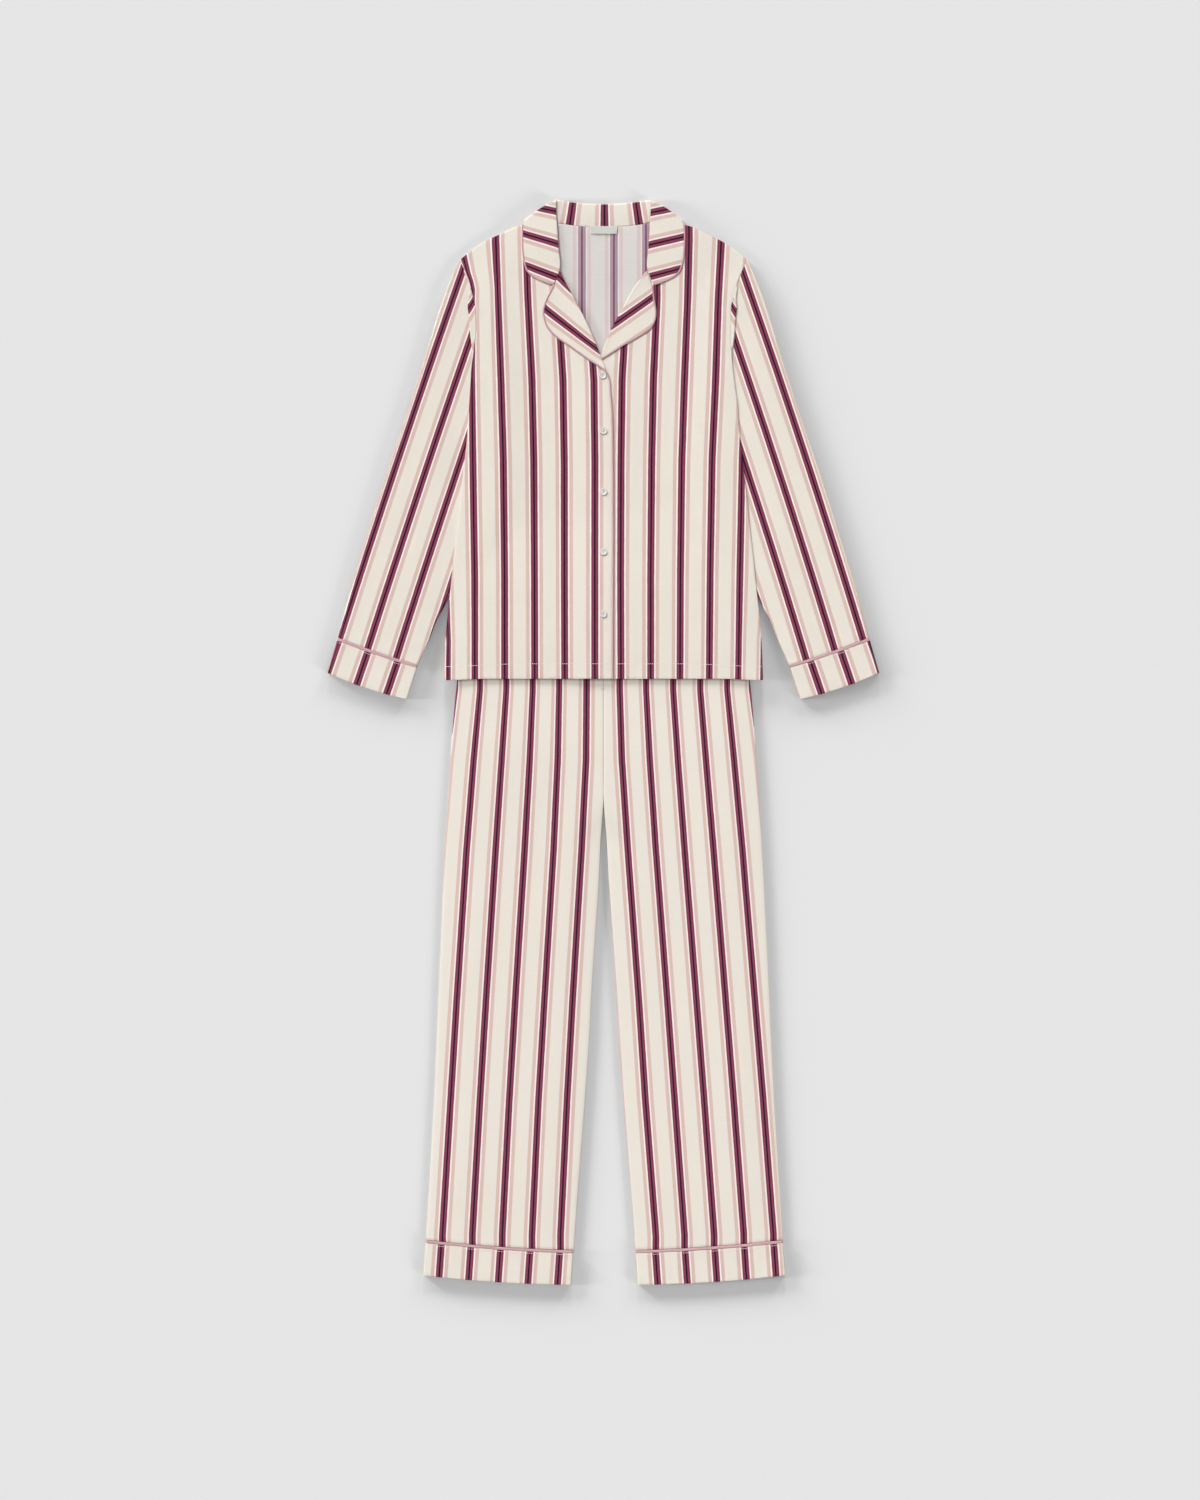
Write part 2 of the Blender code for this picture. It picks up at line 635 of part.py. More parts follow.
def make_trousers(piping, parent):
    for side, word in ((-1, "right"), (1, "left")):
        make_leg("leg_back_" + word, side, back_leg_level, parent)
        make_leg("leg_front_" + word, side, front_leg_level, parent)
        start = RING_PIPING / 2 + SEAM + RIM_ALLOWANCE
        _, length = band_plan(HEM_SEAM, HEM_END, side, 0, 1, 12)
        plan, _ = band_plan(HEM_SEAM, HEM_END, side, start, length, 12)
        rings = tube_rows(plan, lambda x, y: HEM_BAND_THICK, DOUBLED)
        stripe = striped("hem_stripe_" + word)
        cloth_object("hem_band_" + word, rings, stripe, parent, DOUBLED, ring=True)
        piping_ring("hem_piping_" + word, HEM_SEAM, HEM_END, side, HEM_BAND_THICK, piping, parent)
    half, seam_half = WAIST_HALF, TROUSER_SIDE[0][0]
    plan = [
        [np.array((-reach + 2 * reach * u, y)) for u in shares(16)]
        for reach, y in ((half, WAIST_TOP), ((half + seam_half) / 2, 180), (seam_half, WAIST_SEAM))
    ]
    rings = tube_rows(plan, lambda x, y: WAISTBAND_THICK, DOUBLED)
    cloth_object("waistband", rings, striped("waist_stripe"), parent, DOUBLED, ring=True)


def new_collection(name):
    collection = bpy.data.collections.new(name)
    bpy.context.scene.collection.children.link(collection)
    return collection


def new_garment(name):
    empty = bpy.data.objects.new(name, None)
    COLLECTION.objects.link(empty)
    return empty


for existing in list(bpy.data.objects):
    bpy.data.objects.remove(existing)

COLLECTION = new_collection("pyjama_set")
CUTTERS = new_collection("cutters")

shirt = new_garment("shirt")
trousers = new_garment("trousers")
pink_piping = finish("piping", PINK, CLOTH_ROUGHNESS)

make_back(shirt)
make_front(
    "shirt_front_right", UPPER_FRONT_EDGE, -1, upper_front_level,
    (0, 0.05, 0.1, 0.145, 0.19, 0.235, 0.28, 0.37, 0.48, 0.59, 0.7, 0.8, 0.9, 1), shirt,
)
make_front("shirt_front_left", LOWER_FRONT_EDGE, 1, lower_front_level, shares(11), shirt)
make_lapel("lapel_right", UPPER_ROLL, UPPER_LAPEL_EDGE, upper_front_level, shirt)
make_lapel("lapel_left", LOWER_ROLL, LOWER_LAPEL_EDGE, lower_front_level, shirt)
make_collar_back(shirt)
for half_side, side_word in ((-1, "right"), (1, "left")):
    make_leaf("collar_leaf_" + side_word, half_side, shirt)
    make_sleeve(side_word, half_side, pink_piping, shirt)
make_shirt_piping(pink_piping, shirt)
make_buttons(shirt)
make_label(shirt)
make_trousers(pink_piping, trousers)
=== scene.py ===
import itertools
import math

import bmesh
import bpy
import numpy as np
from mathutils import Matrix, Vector


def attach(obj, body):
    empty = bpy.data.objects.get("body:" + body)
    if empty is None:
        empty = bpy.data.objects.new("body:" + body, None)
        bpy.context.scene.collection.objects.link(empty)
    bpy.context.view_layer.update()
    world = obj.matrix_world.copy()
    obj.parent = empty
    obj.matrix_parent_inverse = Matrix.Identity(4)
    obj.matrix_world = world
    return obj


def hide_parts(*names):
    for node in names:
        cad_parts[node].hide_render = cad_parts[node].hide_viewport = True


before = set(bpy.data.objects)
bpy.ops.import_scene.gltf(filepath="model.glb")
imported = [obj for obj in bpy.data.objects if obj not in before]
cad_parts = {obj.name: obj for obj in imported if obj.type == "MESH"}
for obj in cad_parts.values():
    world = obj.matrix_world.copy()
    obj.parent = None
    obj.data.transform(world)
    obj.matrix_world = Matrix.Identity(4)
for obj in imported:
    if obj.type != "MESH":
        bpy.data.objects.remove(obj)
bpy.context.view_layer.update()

# Lengths in the dictionaries are millimetres: x across from the centre line, y along the set.
# The wearer's right is at -x, and a line given for one half is mirrored for the other.
mm = 0.001
body = "root"
sides = ((-1, "Right"), (1, "Left"))


def ease(share):
    share = np.clip(share, 0, 1)
    return share * share * (3 - 2 * share)


def ramp(value, start, end):
    return ease((value - start) / (end - start))


def smoothLine(rows, side=1, steps=14):
    # a smooth curve through the rows, as points close together
    rows = np.array(rows, float) * (side, 1)
    gaps = np.linalg.norm(np.diff(rows, axis=0), axis=1)
    slopes = np.diff(rows, axis=0) / gaps[:, None]
    turns = [slopes[0]]
    for k in range(1, len(gaps)):
        before = gaps[k] / (gaps[k - 1] + gaps[k])
        turns.append(slopes[k - 1] * before + slopes[k] * (1 - before))
    turns.append(slopes[-1])
    points = []
    for k, gap in enumerate(gaps):
        for t in np.arange(steps) / steps:
            points.append(
                rows[k] * (1 + 2 * t) * (1 - t) ** 2 + turns[k] * gap * t * (1 - t) ** 2
                + rows[k + 1] * t * t * (3 - 2 * t) + turns[k + 1] * gap * t * t * (t - 1)
            )
    points.append(rows[-1])
    return np.array(points)


def lineLengths(line):
    return np.append(0, np.cumsum(np.linalg.norm(np.diff(line, axis=0), axis=1)))


def along(line, shares):
    # points at these shares of a line's length
    lengths = lineLengths(line)
    where = np.asarray(shares) * lengths[-1]
    return np.stack([np.interp(where, lengths, line[:, k]) for k in range(line.shape[1])], -1)


def moved(line, distance):
    # the line moved to its own left, or to its right if distance is negative
    way = np.gradient(line, axis=0)
    way /= np.linalg.norm(way, axis=1)[:, None]
    return line + distance * np.column_stack((-way[:, 1], way[:, 0]))


def acrossAt(rows, y):
    rows = sorted(rows, key=lambda row: row[1])
    return np.interp(y, [row[1] for row in rows], [row[0] for row in rows])


def patch(top, bottom, inner, outer, columns, rows):
    # plan points between four lines; top and bottom run from the inner line to the outer one
    u, v = np.linspace(0, 1, columns + 1), np.linspace(0, 1, rows + 1)
    a, b, c, d = along(top, u), along(bottom, u), along(inner, v), along(outer, v)
    u, v = u[None, :, None], v[:, None, None]
    edges = (1 - v) * a + v * b + (1 - u) * c[:, None] + u * d[:, None]
    upper, lower = (1 - u) * a[0] + u * a[-1], (1 - u) * b[0] + u * b[-1]
    return edges - (1 - v) * upper - v * lower


def raised(plan, level):
    return np.dstack((plan, level(plan[..., 0], plan[..., 1])))


def unit(vectors):
    return vectors / np.maximum(np.linalg.norm(vectors, axis=-1, keepdims=True), 1e-9)


# The cloth's walls, how much each layer lifts what lies on it, and between which places that comes in
layers = {
    "wall": 1.1, "doubled": 1.4, "gap": 0.4, "seamGap": 0.08, "seamWidth": 3.0,
    "collar": 1.5, "collarAlong": (615, 685), "collarAcross": (172, 118),
    "sleeve": 3.3, "sleeveTop": (674, 620), "sleeveEnd": (162, 202), "sleeveTuck": (60, 0),
    "trousers": 4.0, "trousersAlong": (330, 206), "droop": 0.45, "droopAcross": (8, 33),
    "crown": 0.9, "edge": (0, 45), "hem": (88.2, 128.2),
    "lapAcross": (-54, -18),
    "waistFullness": 0.8, "legFullness": 1.7, "legAlong": (70, -20), "legHem": (-714, -604),
    "hemFold": 0.25, "hemFoldAlong": (111.4, 106.4), "hemStitch": 109.4, "edgeDip": 0.3,
    "edgeDipAcross": (9.2, 11.8),
}
lowerSide = (
    (188.3, 465), (191.1, 423), (196, 381), (201, 339), (205, 297), (210, 255), (214.2, 213), (218.7, 171),
    (221.8, 129), (223.2, 86.4),
)
shirt = {
    "shoulder": (
        (77, 738), (96, 730), (113.5, 723.6), (123.8, 720.8), (131.6, 716.8), (173.6, 695.8), (200, 675),
    ),
    "backNeck": ((77, 738), (72.5, 729), (66.6, 727), (60, 725.6), (32, 721.8), (0, 720)),
    "side": (
        (200, 675), (191, 655), (185.5, 640), (181.3, 624), (178.5, 612), (183, 595), (184.5, 577),
        (184, 549), (185.5, 507), *lowerSide,
    ),
    "frontSide": (
        (200.8, 675), (192.8, 656), (186.6, 640), (182.4, 624), (179.4, 612), (178.2, 591), (178.4, 570),
        (181.2, 549), (184.6, 525), (185.8, 507), *lowerSide,
    ),
    # how far each side is pushed over, about which height, and over what length
    "sidePushed": {-1: (-2.0, 650, 28), 1: (-3.8, 525, 62)},
    "hem": 88.2, "hemDip": 1.8, "hemDipAcross": (165, 222), "backGrid": (104, 150), "frontGrid": (56, 150),
    "upperEdge": (
        (-77, 738), (-71, 712), (-68, 688), (-66, 664), (-59.5, 648), (-48, 627.5), (-39.5, 611.5),
        (-31, 594), (-19.8, 569.5), (-9, 542), (-1.8, 527), (4.4, 513.8), (7.4, 506), (8.3, 498),
        (8.6, 489), (9.6, 478), (10.7, 464), (11.3, 450), (11.6, 436), (11.8, 420), (11.8, 88.2),
    ),
    "lowerEdge": (
        (77, 738), (71, 712), (68, 688), (66, 662), (46.5, 637), (33, 612), (23.5, 594), (10.6, 563),
        (5.6, 548), (-2, 532), (-10, 514), (-13.6, 494), (-14, 470), (-14, 88.2),
    ),
}
sleeve = {
    "outer": (
        (201.5, 675), (219.8, 633), (233.8, 591), (246.4, 549), (273, 465), (301.7, 381), (328.3, 297),
        (353.9, 213), (371.7, 146.0),
    ),
    "cap": (
        (201.5, 675), (191.7, 655.2), (186.0, 640.2), (181.8, 624), (178.9, 611), (172, 580),
        (163, 535), (155.4, 490),
    ),
    "inner": (
        (155.4, 490), (147, 437), (144.2, 381), (152.6, 325), (172.2, 272), (195.6, 234), (214.9, 205),
        (225, 185.6), (233, 171.2), (241, 150.4), (250.6, 127.8), (259.7, 107.7),
    ),
    "thick": 2.8, "crown": 1.4, "crownAcross": (3, 48), "grid": (36, 130),
}
trousers = {
    "side": (
        (187.6, 160.7), (197.4, 128.8), (204.4, 88.2), (209.5, 37.8), (214.4, -32.2), (218.9, -102.2),
        (222.8, -172.2), (227.9, -277.2), (231, -347.2), (234, -417.2), (237.2, -487.2),
        (241.2, -557.2), (245.3, -627.2), (249.4, -696.9),
    ),
    "insideLeg": (
        (0.1, -77), (4.2, -137.2), (7.7, -207.2), (12.6, -277.2), (17.2, -347.2), (21, -417.2),
        (26, -487.2), (31.5, -557.2), (37.1, -627.2), (43.4, -711.1),
    ),
    "centre": ((0.1, 160.7), (0.1, 80), (0.1, 0), (0.1, -50)),
    "crotch": -77.0, "lean": (1.5, -700, -20), "backGrid": (30, 120), "frontGrid": (48, 190),
}


# soft troughs (negative) and ridges laid in, one by one: x0, y0, x1, y1, half width, height
softFolds = {
    "front": (
        (-156, 600, -128, 470, 30, 0.45), (-100, 520, -84, 380, 34, -0.4), (-168, 350, -150, 190, 32, 0.4),
        (-70, 330, -62, 210, 28, -0.35), (-118, 240, -112, 130, 26, 0.35), (120, 610, 104, 500, 32, 0.4),
        (70, 480, 84, 330, 30, -0.45), (160, 420, 150, 280, 34, 0.45), (102, 270, 112, 140, 28, -0.35),
        (176, 220, 182, 130, 26, 0.3),
    ),
    "sleeve": (
        (-212, 560, -236, 470, 26, -0.45), (-236, 420, -214, 330, 30, 0.45),
        (-262, 330, -292, 240, 24, -0.4), (-272, 210, -300, 160, 24, 0.35),
        (206, 590, 228, 500, 26, 0.4), (240, 450, 222, 350, 30, -0.45),
        (280, 340, 300, 260, 26, 0.4), (270, 240, 298, 180, 24, -0.35),
    ),
    "leg": (
        (-120, 60, -140, -70, 34, 0.45), (-70, -60, -92, -220, 32, -0.45),
        (-170, -200, -176, -340, 36, 0.5), (-110, -380, -118, -520, 32, -0.4),
        (-190, -520, -186, -640, 30, 0.4), (96, 70, 120, -60, 32, -0.4),
        (150, -110, 158, -270, 36, 0.5), (84, -250, 98, -390, 30, -0.4), (188, -400, 184, -540, 34, 0.45),
        (120, -560, 128, -650, 28, -0.35),
    ),
}


def foldHeight(x, y, place):
    height = 0.0 * x
    for x0, y0, x1, y1, half, most in softFolds[place]:
        length = math.hypot(x1 - x0, y1 - y0)
        way = ((x1 - x0) / length, (y1 - y0) / length)
        onward = (x - x0) * way[0] + (y - y0) * way[1]
        aside = np.abs((y - y0) * way[0] - (x - x0) * way[1])
        ends = ramp(onward, -half, half) * ramp(onward, length + half, length - half)
        height = height + most * ease(1 - aside / half) * ends
    return height


def shoulderAt(x):
    return np.interp(np.abs(x), *np.array(shirt["shoulder"]).T)


def liftLevel(x, y):
    # the underside of the shirt's back, over the collar, the tucked sleeves and the trousers
    reach = np.abs(x)
    collar = layers["collar"] * ramp(y, *layers["collarAlong"]) * ramp(reach, *layers["collarAcross"])
    inside = acrossAt(sleeve["cap"][4:] + sleeve["inner"][1:7], y) - reach
    tucked = layers["sleeve"] * ramp(inside, *layers["sleeveTuck"])
    tucked = tucked * ramp(y, *layers["sleeveTop"]) * ramp(y, *layers["sleeveEnd"])
    past = reach - acrossAt(trousers["side"], y)
    waist = layers["trousers"] * ramp(y, *layers["trousersAlong"])
    waist = waist * (1 - layers["droop"] * ramp(past, *layers["droopAcross"]))
    return np.maximum(np.maximum(collar, tucked), waist)


def backLevel(x, y):
    return liftLevel(x, y) + layers["wall"] / 2


def seamDip(distance):
    # the front eases down to the back where the two are sewn together
    return (layers["gap"] - layers["seamGap"]) * ease(1 - distance / layers["seamWidth"])


def lowerFrontLevel(x, y):
    fromSide, fromShoulder = acrossAt(shirt["side"], y) - np.abs(x), shoulderAt(x) - y
    crown = layers["crown"] * ramp(fromSide, *layers["edge"]) * ramp(fromShoulder, *layers["edge"])
    crown = crown * ramp(y, *layers["hem"])
    hemFold = layers["hemFold"] * ramp(y, *layers["hemFoldAlong"])
    seams = np.maximum(seamDip(fromSide), seamDip(fromShoulder))
    rise = layers["wall"] + layers["gap"] + crown + hemFold - seams
    return backLevel(x, y) + rise + foldHeight(x, y, "front")


def upperFrontLevel(x, y):
    over = (layers["wall"] + layers["gap"]) * ramp(x, *layers["lapAcross"])
    return lowerFrontLevel(x, y) + over - layers["edgeDip"] * ramp(x, *layers["edgeDipAcross"])


def onTop(level):
    return lambda x, y: level(x, y) + layers["wall"] + layers["gap"]


def sleeveThick(x, y):
    past = np.abs(x) - acrossAt(shirt["side"], y)
    full = ramp(past, *sleeve["crownAcross"])
    return sleeve["thick"] + sleeve["crown"] * full + foldHeight(x, y, "sleeve") * full


def backLegLevel(x, y):
    return np.zeros_like(x) + layers["wall"] / 2


def frontLegLevel(x, y):
    inside = acrossAt(((-layers["edge"][1], trousers["crotch"]),) + trousers["insideLeg"][1:], y)
    fromSide, fromInside = acrossAt(trousers["side"], y) - np.abs(x), np.abs(x) - inside
    edges = ramp(fromSide, *layers["edge"]) * ramp(fromInside, *layers["edge"])
    more = (layers["legFullness"] - layers["waistFullness"]) * ramp(y, *layers["legAlong"])
    fullness = layers["waistFullness"] + more * ramp(y, *layers["legHem"])
    seams = np.maximum(seamDip(fromSide), seamDip(fromInside))
    folds = foldHeight(x, y, "leg") * edges
    return layers["wall"] * 1.5 + layers["gap"] + fullness * edges + folds - seams


# Where the dark stripes run, on each side of the centre line. A row gives a height, how far out the first
# two dark stripes are there, and the step to the ones past them; a seam pulls some of them over.
stripes = {
    "repeat": 42.0, "most": 8,
    "shirt": {
        -1: (
            (702.8, 24.5, 66.5, 42.0), (618.8, 21.7, 63.7, 42.0), (506.8, 13.3, 56.7, 43.4),
            (394.8, 11.9, 54.9, 42.6), (226.8, 12.1, 54.6, 41.8), (86.4, 12.0, 54.1, 42.0),
        ),
        1: (
            (702.8, 29.1, 74.4, 45.3), (618.8, 32.4, 75.0, 42.8), (506.8, 26.0, 69.9, 43.5),
            (394.8, 24.6, 67.5, 42.2), (226.8, 24.0, 66.1, 41.5), (86.4, 24.5, 66.1, 40.9),
        ),
    },
    "shirtPulled": {
        -1: {
            5: (
                (201.2, 702.8), (196.7, 680.4), (191.1, 656.9), (186.4, 644.7), (183.6, 632.8),
                (184.5, 618.8), (184.2, 506.8), (182.7, 394.8),
            ),
            6: (
                (243.2, 702.8), (238.7, 680.4), (211, 656.9), (204, 644.7), (200, 632.8), (226.5, 618.8),
                (226.2, 506.8), (221.8, 226.8), (217.6, 142.8), (218, 86.4),
            ),
            7: ((263.8, 226.8), (241, 142.8), (241, 86.4)),
        },
        1: {6: ((232.1, 226.8), (224.4, 142.8), (223.2, 86.4))},
    },
    "trousers": {
        -1: (
            (72.8, 23.8, 62.1, 36.9), (-25.2, 24.5, 64.0, 39.2), (-151.2, 30.8, 69.7, 40.6),
            (-361.2, 43.4, 82.5, 40.9), (-501.2, 51.1, 90.8, 41.0), (-690.2, 60.2, 99.9, 41.8),
        ),
        1: (
            (72.8, 23.1, 59.6, 37.9), (-25.2, 25.9, 64.8, 39.3), (-151.2, 34.3, 73.2, 40.4),
            (-361.2, 49.7, 89.2, 40.9), (-501.2, 58.8, 99.6, 41.3), (-690.2, 73.5, 113.4, 41.5),
        ),
    },
    "trousersPulled": {-1: {6: ((207.8, 72.8), (220.8, -25.2))}, 1: {6: ((207.6, 72.8), (222.0, -25.2))}},
    "inside": (14.7, 44.8),
}


def stripeNumber(cloth, side):
    # a number that is whole at the middle of each dark stripe, and grows with x
    heights, firsts, seconds, steps = np.array(sorted(stripes[cloth][side])).T
    pulled = stripes[cloth + "Pulled"][side]

    def numberAt(x, y):
        y = np.clip(y, heights[0], heights[-1])
        reach, step = side * x, np.interp(y, heights, steps)
        lines = [np.interp(y, heights, firsts), np.interp(y, heights, seconds)]
        lines += [lines[1] + step * k for k in range(1, stripes["most"] - 1)]
        for number, path in pulled.items():
            inside = (y <= path[0][1]) & (y >= path[-1][1])
            lines[number - 1] = np.where(inside, acrossAt(path, y), lines[number - 1])
        found = 1 + (reach - lines[0]) / stripes["repeat"]
        for number, (near, far) in enumerate(zip(lines, lines[1:]), 1):
            found = np.where(reach >= near, number + (reach - near) / (far - near), found)
        return side * found

    return numberAt


def linesNumber(lines):
    # the number between straight stripes given as (number, x0, y0, x1, y1), in order
    def numberAt(x, y):
        gaps = []
        for _, x0, y0, x1, y1 in lines:
            way = np.array((x1 - x0, y1 - y0)) / math.hypot(x1 - x0, y1 - y0)
            gaps.append((x - x0) * -way[1] + (y - y0) * way[0])
        found = None
        for (first, *_), (second, *_), a, b in zip(lines, lines[1:], gaps, gaps[1:]):
            here = first + (second - first) * a / np.where(np.abs(a - b) < 1e-6, 1e-6, a - b)
            found = here if found is None else np.where((here - first) * (second - first) >= 0, here, found)
        return found

    return numberAt


print("patterns ready")


# Materials

def srgb(*values):
    return tuple(
        v / 255 / 12.92 if v <= 10 else ((v / 255 + 0.055) / 1.055) ** 2.4 for v in values
    ) + (1.0,)


def newGroup(name, inputs, outputs):
    tree = bpy.data.node_groups.new(name, "ShaderNodeTree")
    for label, kind, value in inputs:
        socket = tree.interface.new_socket(name=label, in_out="INPUT", socket_type="NodeSocket" + kind)
        if value is not None:
            socket.default_value = value
    for label, kind in outputs:
        tree.interface.new_socket(name=label, in_out="OUTPUT", socket_type="NodeSocket" + kind)
    return tree, tree.nodes.new("NodeGroupInput"), tree.nodes.new("NodeGroupOutput")


def feed(tree, socket, value):
    if isinstance(value, bpy.types.NodeSocket):
        tree.links.new(value, socket)
    elif value is not None:
        socket.default_value = value


def calc(tree, operation, first, second=None, clamp=False):
    node = tree.nodes.new("ShaderNodeMath")
    node.operation, node.use_clamp = operation, clamp
    feed(tree, node.inputs[0], first)
    feed(tree, node.inputs[1], second)
    return node.outputs[0]


def plus(tree, first, second, clamp=False):
    return calc(tree, "ADD", first, second, clamp)


def minus(tree, first, second):
    return calc(tree, "SUBTRACT", first, second)


def times(tree, first, second):
    return calc(tree, "MULTIPLY", first, second)


def swing(tree, value, middle, most):
    # how far a value is from its middle, scaled
    return times(tree, minus(tree, value, middle), most)


def within(tree, first, second, soft, clamp=True):
    # one where first is over second, over a soft edge
    return calc(tree, "DIVIDE", minus(tree, first, second), soft, clamp)


def scaled(tree, vector, factors):
    node = tree.nodes.new("ShaderNodeVectorMath")
    node.operation = "MULTIPLY"
    feed(tree, node.inputs[0], vector)
    node.inputs[1].default_value = factors
    return node.outputs[0]


def noise(tree, vector, scale, detail=2.0):
    node = tree.nodes.new("ShaderNodeTexNoise")
    feed(tree, node.inputs["Vector"], vector)
    node.inputs["Scale"].default_value = scale
    node.inputs["Detail"].default_value = detail
    return node.outputs["Fac"]


def mixed(tree, share, first, second, kind="MIX"):
    node = tree.nodes.new("ShaderNodeMix")
    node.data_type, node.blend_type = "RGBA", kind
    feed(tree, node.inputs[0], share)
    feed(tree, node.inputs[6], first)
    feed(tree, node.inputs[7], second)
    return node.outputs[2]


stripeWidths = {  # metres from the middle of the dark stripe, and how soft each edge is
    "Core": (0.0011, 0.0004), "Plum": (0.0049, 0.0004), "White": (0.0070, 0.0005), "Pink": (0.0119, 0.0008),
    "Rim": (0.0037, 0.0007),
}


def stripeGroup():
    tree, given, made = newGroup(
        "wovenStripe", [("Cloth", "Vector", None), ("Repeat", "Float", stripes["repeat"] * mm)],
        [(name, "Float") for name in stripeWidths],
    )
    split = tree.nodes.new("ShaderNodeSeparateXYZ")
    tree.links.new(given.outputs["Cloth"], split.inputs[0])
    turns = calc(tree, "DIVIDE", split.outputs[0], given.outputs["Repeat"])
    nearest = calc(tree, "ROUND", turns)
    away = times(tree, calc(tree, "ABSOLUTE", minus(tree, turns, nearest)), given.outputs["Repeat"])
    threads = noise(tree, scaled(tree, given.outputs["Cloth"], (1500, 90, 0)), 1.0, 1.0)
    away = plus(tree, away, swing(tree, threads, 0.5, 0.0005))
    for name, (edge, soft) in stripeWidths.items():
        share = within(tree, edge, away, soft, clamp=False)
        tree.links.new(plus(tree, share, 0.5, clamp=True), made.inputs[name])
    return tree


def weaveGroup():
    tree, given, made = newGroup(
        "plainWeave", [("Cloth", "Vector", None), ("Threads", "Float", 2200.0), ("Slub", "Float", 0.1)],
        [("Height", "Float"), ("Shade", "Color")],
    )
    split = tree.nodes.new("ShaderNodeSeparateXYZ")
    tree.links.new(given.outputs["Cloth"], split.inputs[0])
    turns = [times(tree, split.outputs[k], given.outputs["Threads"]) for k in (0, 1)]
    over = calc(tree, "PINGPONG", plus(tree, *(calc(tree, "FLOOR", turn) for turn in turns)), 1.0)
    warp, weft = (calc(tree, "ABSOLUTE", calc(tree, "SINE", times(tree, turn, math.pi))) for turn in turns)
    height = plus(tree, times(tree, warp, minus(tree, 1.0, over)), times(tree, weft, over))
    thick, thin = (
        noise(tree, scaled(tree, given.outputs["Cloth"], stretch), 1.0)
        for stretch in ((900, 26, 0), (30, 800, 0))
    )
    slub = swing(tree, plus(tree, thick, thin), 1.0, given.outputs["Slub"])
    height = plus(tree, height, times(tree, slub, 3.0))
    tree.links.new(height, made.inputs["Height"])
    shade = plus(tree, swing(tree, height, 0.62, 0.06), 1.0)
    tree.links.new(plus(tree, shade, slub), made.inputs["Shade"])
    return tree


def napGroup():
    # soft worn-in tone over the cloth, and the fine fuzz of its surface
    tree, given, made = newGroup(
        "softNap", [("Cloth", "Vector", None), ("Amount", "Float", 0.03)],
        [("Tone", "Color"), ("Fuzz", "Float")],
    )
    wide = noise(tree, given.outputs["Cloth"], 14.0, 3.0)
    small = noise(tree, given.outputs["Cloth"], 260.0)
    tone = plus(tree, wide, swing(tree, small, 0.5, 0.6))
    tone = swing(tree, tone, 0.5, given.outputs["Amount"])
    tree.links.new(plus(tree, tone, 1.0), made.inputs["Tone"])
    tree.links.new(noise(tree, given.outputs["Cloth"], 1400.0), made.inputs["Fuzz"])
    return tree


wovenStripe, plainWeave, softNap = stripeGroup(), weaveGroup(), napGroup()


def newMaterial(name, roughness, sheen=0.0, coat=0.0):
    material = bpy.data.materials.new(name)
    material.use_nodes = True
    shader = material.node_tree.nodes["Principled BSDF"]
    shader.inputs["Roughness"].default_value = roughness
    shader.inputs["Sheen Weight"].default_value = sheen
    shader.inputs["Sheen Roughness"].default_value = 0.6
    shader.inputs["Coat Weight"].default_value = coat
    shader.inputs["Specular IOR Level"].default_value = 0.25
    return material, material.node_tree, shader


def place(tree, group, **values):
    node = tree.nodes.new("ShaderNodeGroup")
    node.node_tree = group
    for label, value in values.items():
        feed(tree, node.inputs[label], value)
    return node


def clothCoordinates(tree):
    node = tree.nodes.new("ShaderNodeUVMap")
    node.uv_map = "cloth"
    return node.outputs[0]


def addBump(tree, shader, height, strength, distance):
    bump = tree.nodes.new("ShaderNodeBump")
    bump.inputs["Strength"].default_value = strength
    bump.inputs["Distance"].default_value = distance
    tree.links.new(height, bump.inputs["Height"])
    tree.links.new(bump.outputs[0], shader.inputs["Normal"])


def clothSurface(tree, shader, colour, threads, slub, nap):
    # weave and nap over a colour
    where = clothCoordinates(tree)
    weave = place(tree, plainWeave, Cloth=where, Threads=threads, Slub=slub)
    soft = place(tree, softNap, Cloth=where, Amount=nap)
    colour = mixed(tree, 1.0, colour, weave.outputs["Shade"], "MULTIPLY")
    colour = mixed(tree, 1.0, colour, soft.outputs["Tone"], "MULTIPLY")
    tree.links.new(colour, shader.inputs["Base Color"])
    fuzz = times(tree, soft.outputs["Fuzz"], 0.6)
    addBump(tree, shader, plus(tree, weave.outputs["Height"], fuzz), 0.35, 0.00012)


def stripedMaterial(name, colours):
    material, tree, shader = newMaterial(name, colours["roughness"], colours["sheen"])
    masks = place(tree, wovenStripe, Cloth=clothCoordinates(tree))
    colour = srgb(*colours["Cream"])
    for layer in ("Pink", "White", "Plum", "Rim", "Core"):
        colour = mixed(tree, masks.outputs[layer], colour, srgb(*colours[layer]))
    clothSurface(tree, shader, colour, 2200.0, colours["slub"], colours["nap"])
    return material


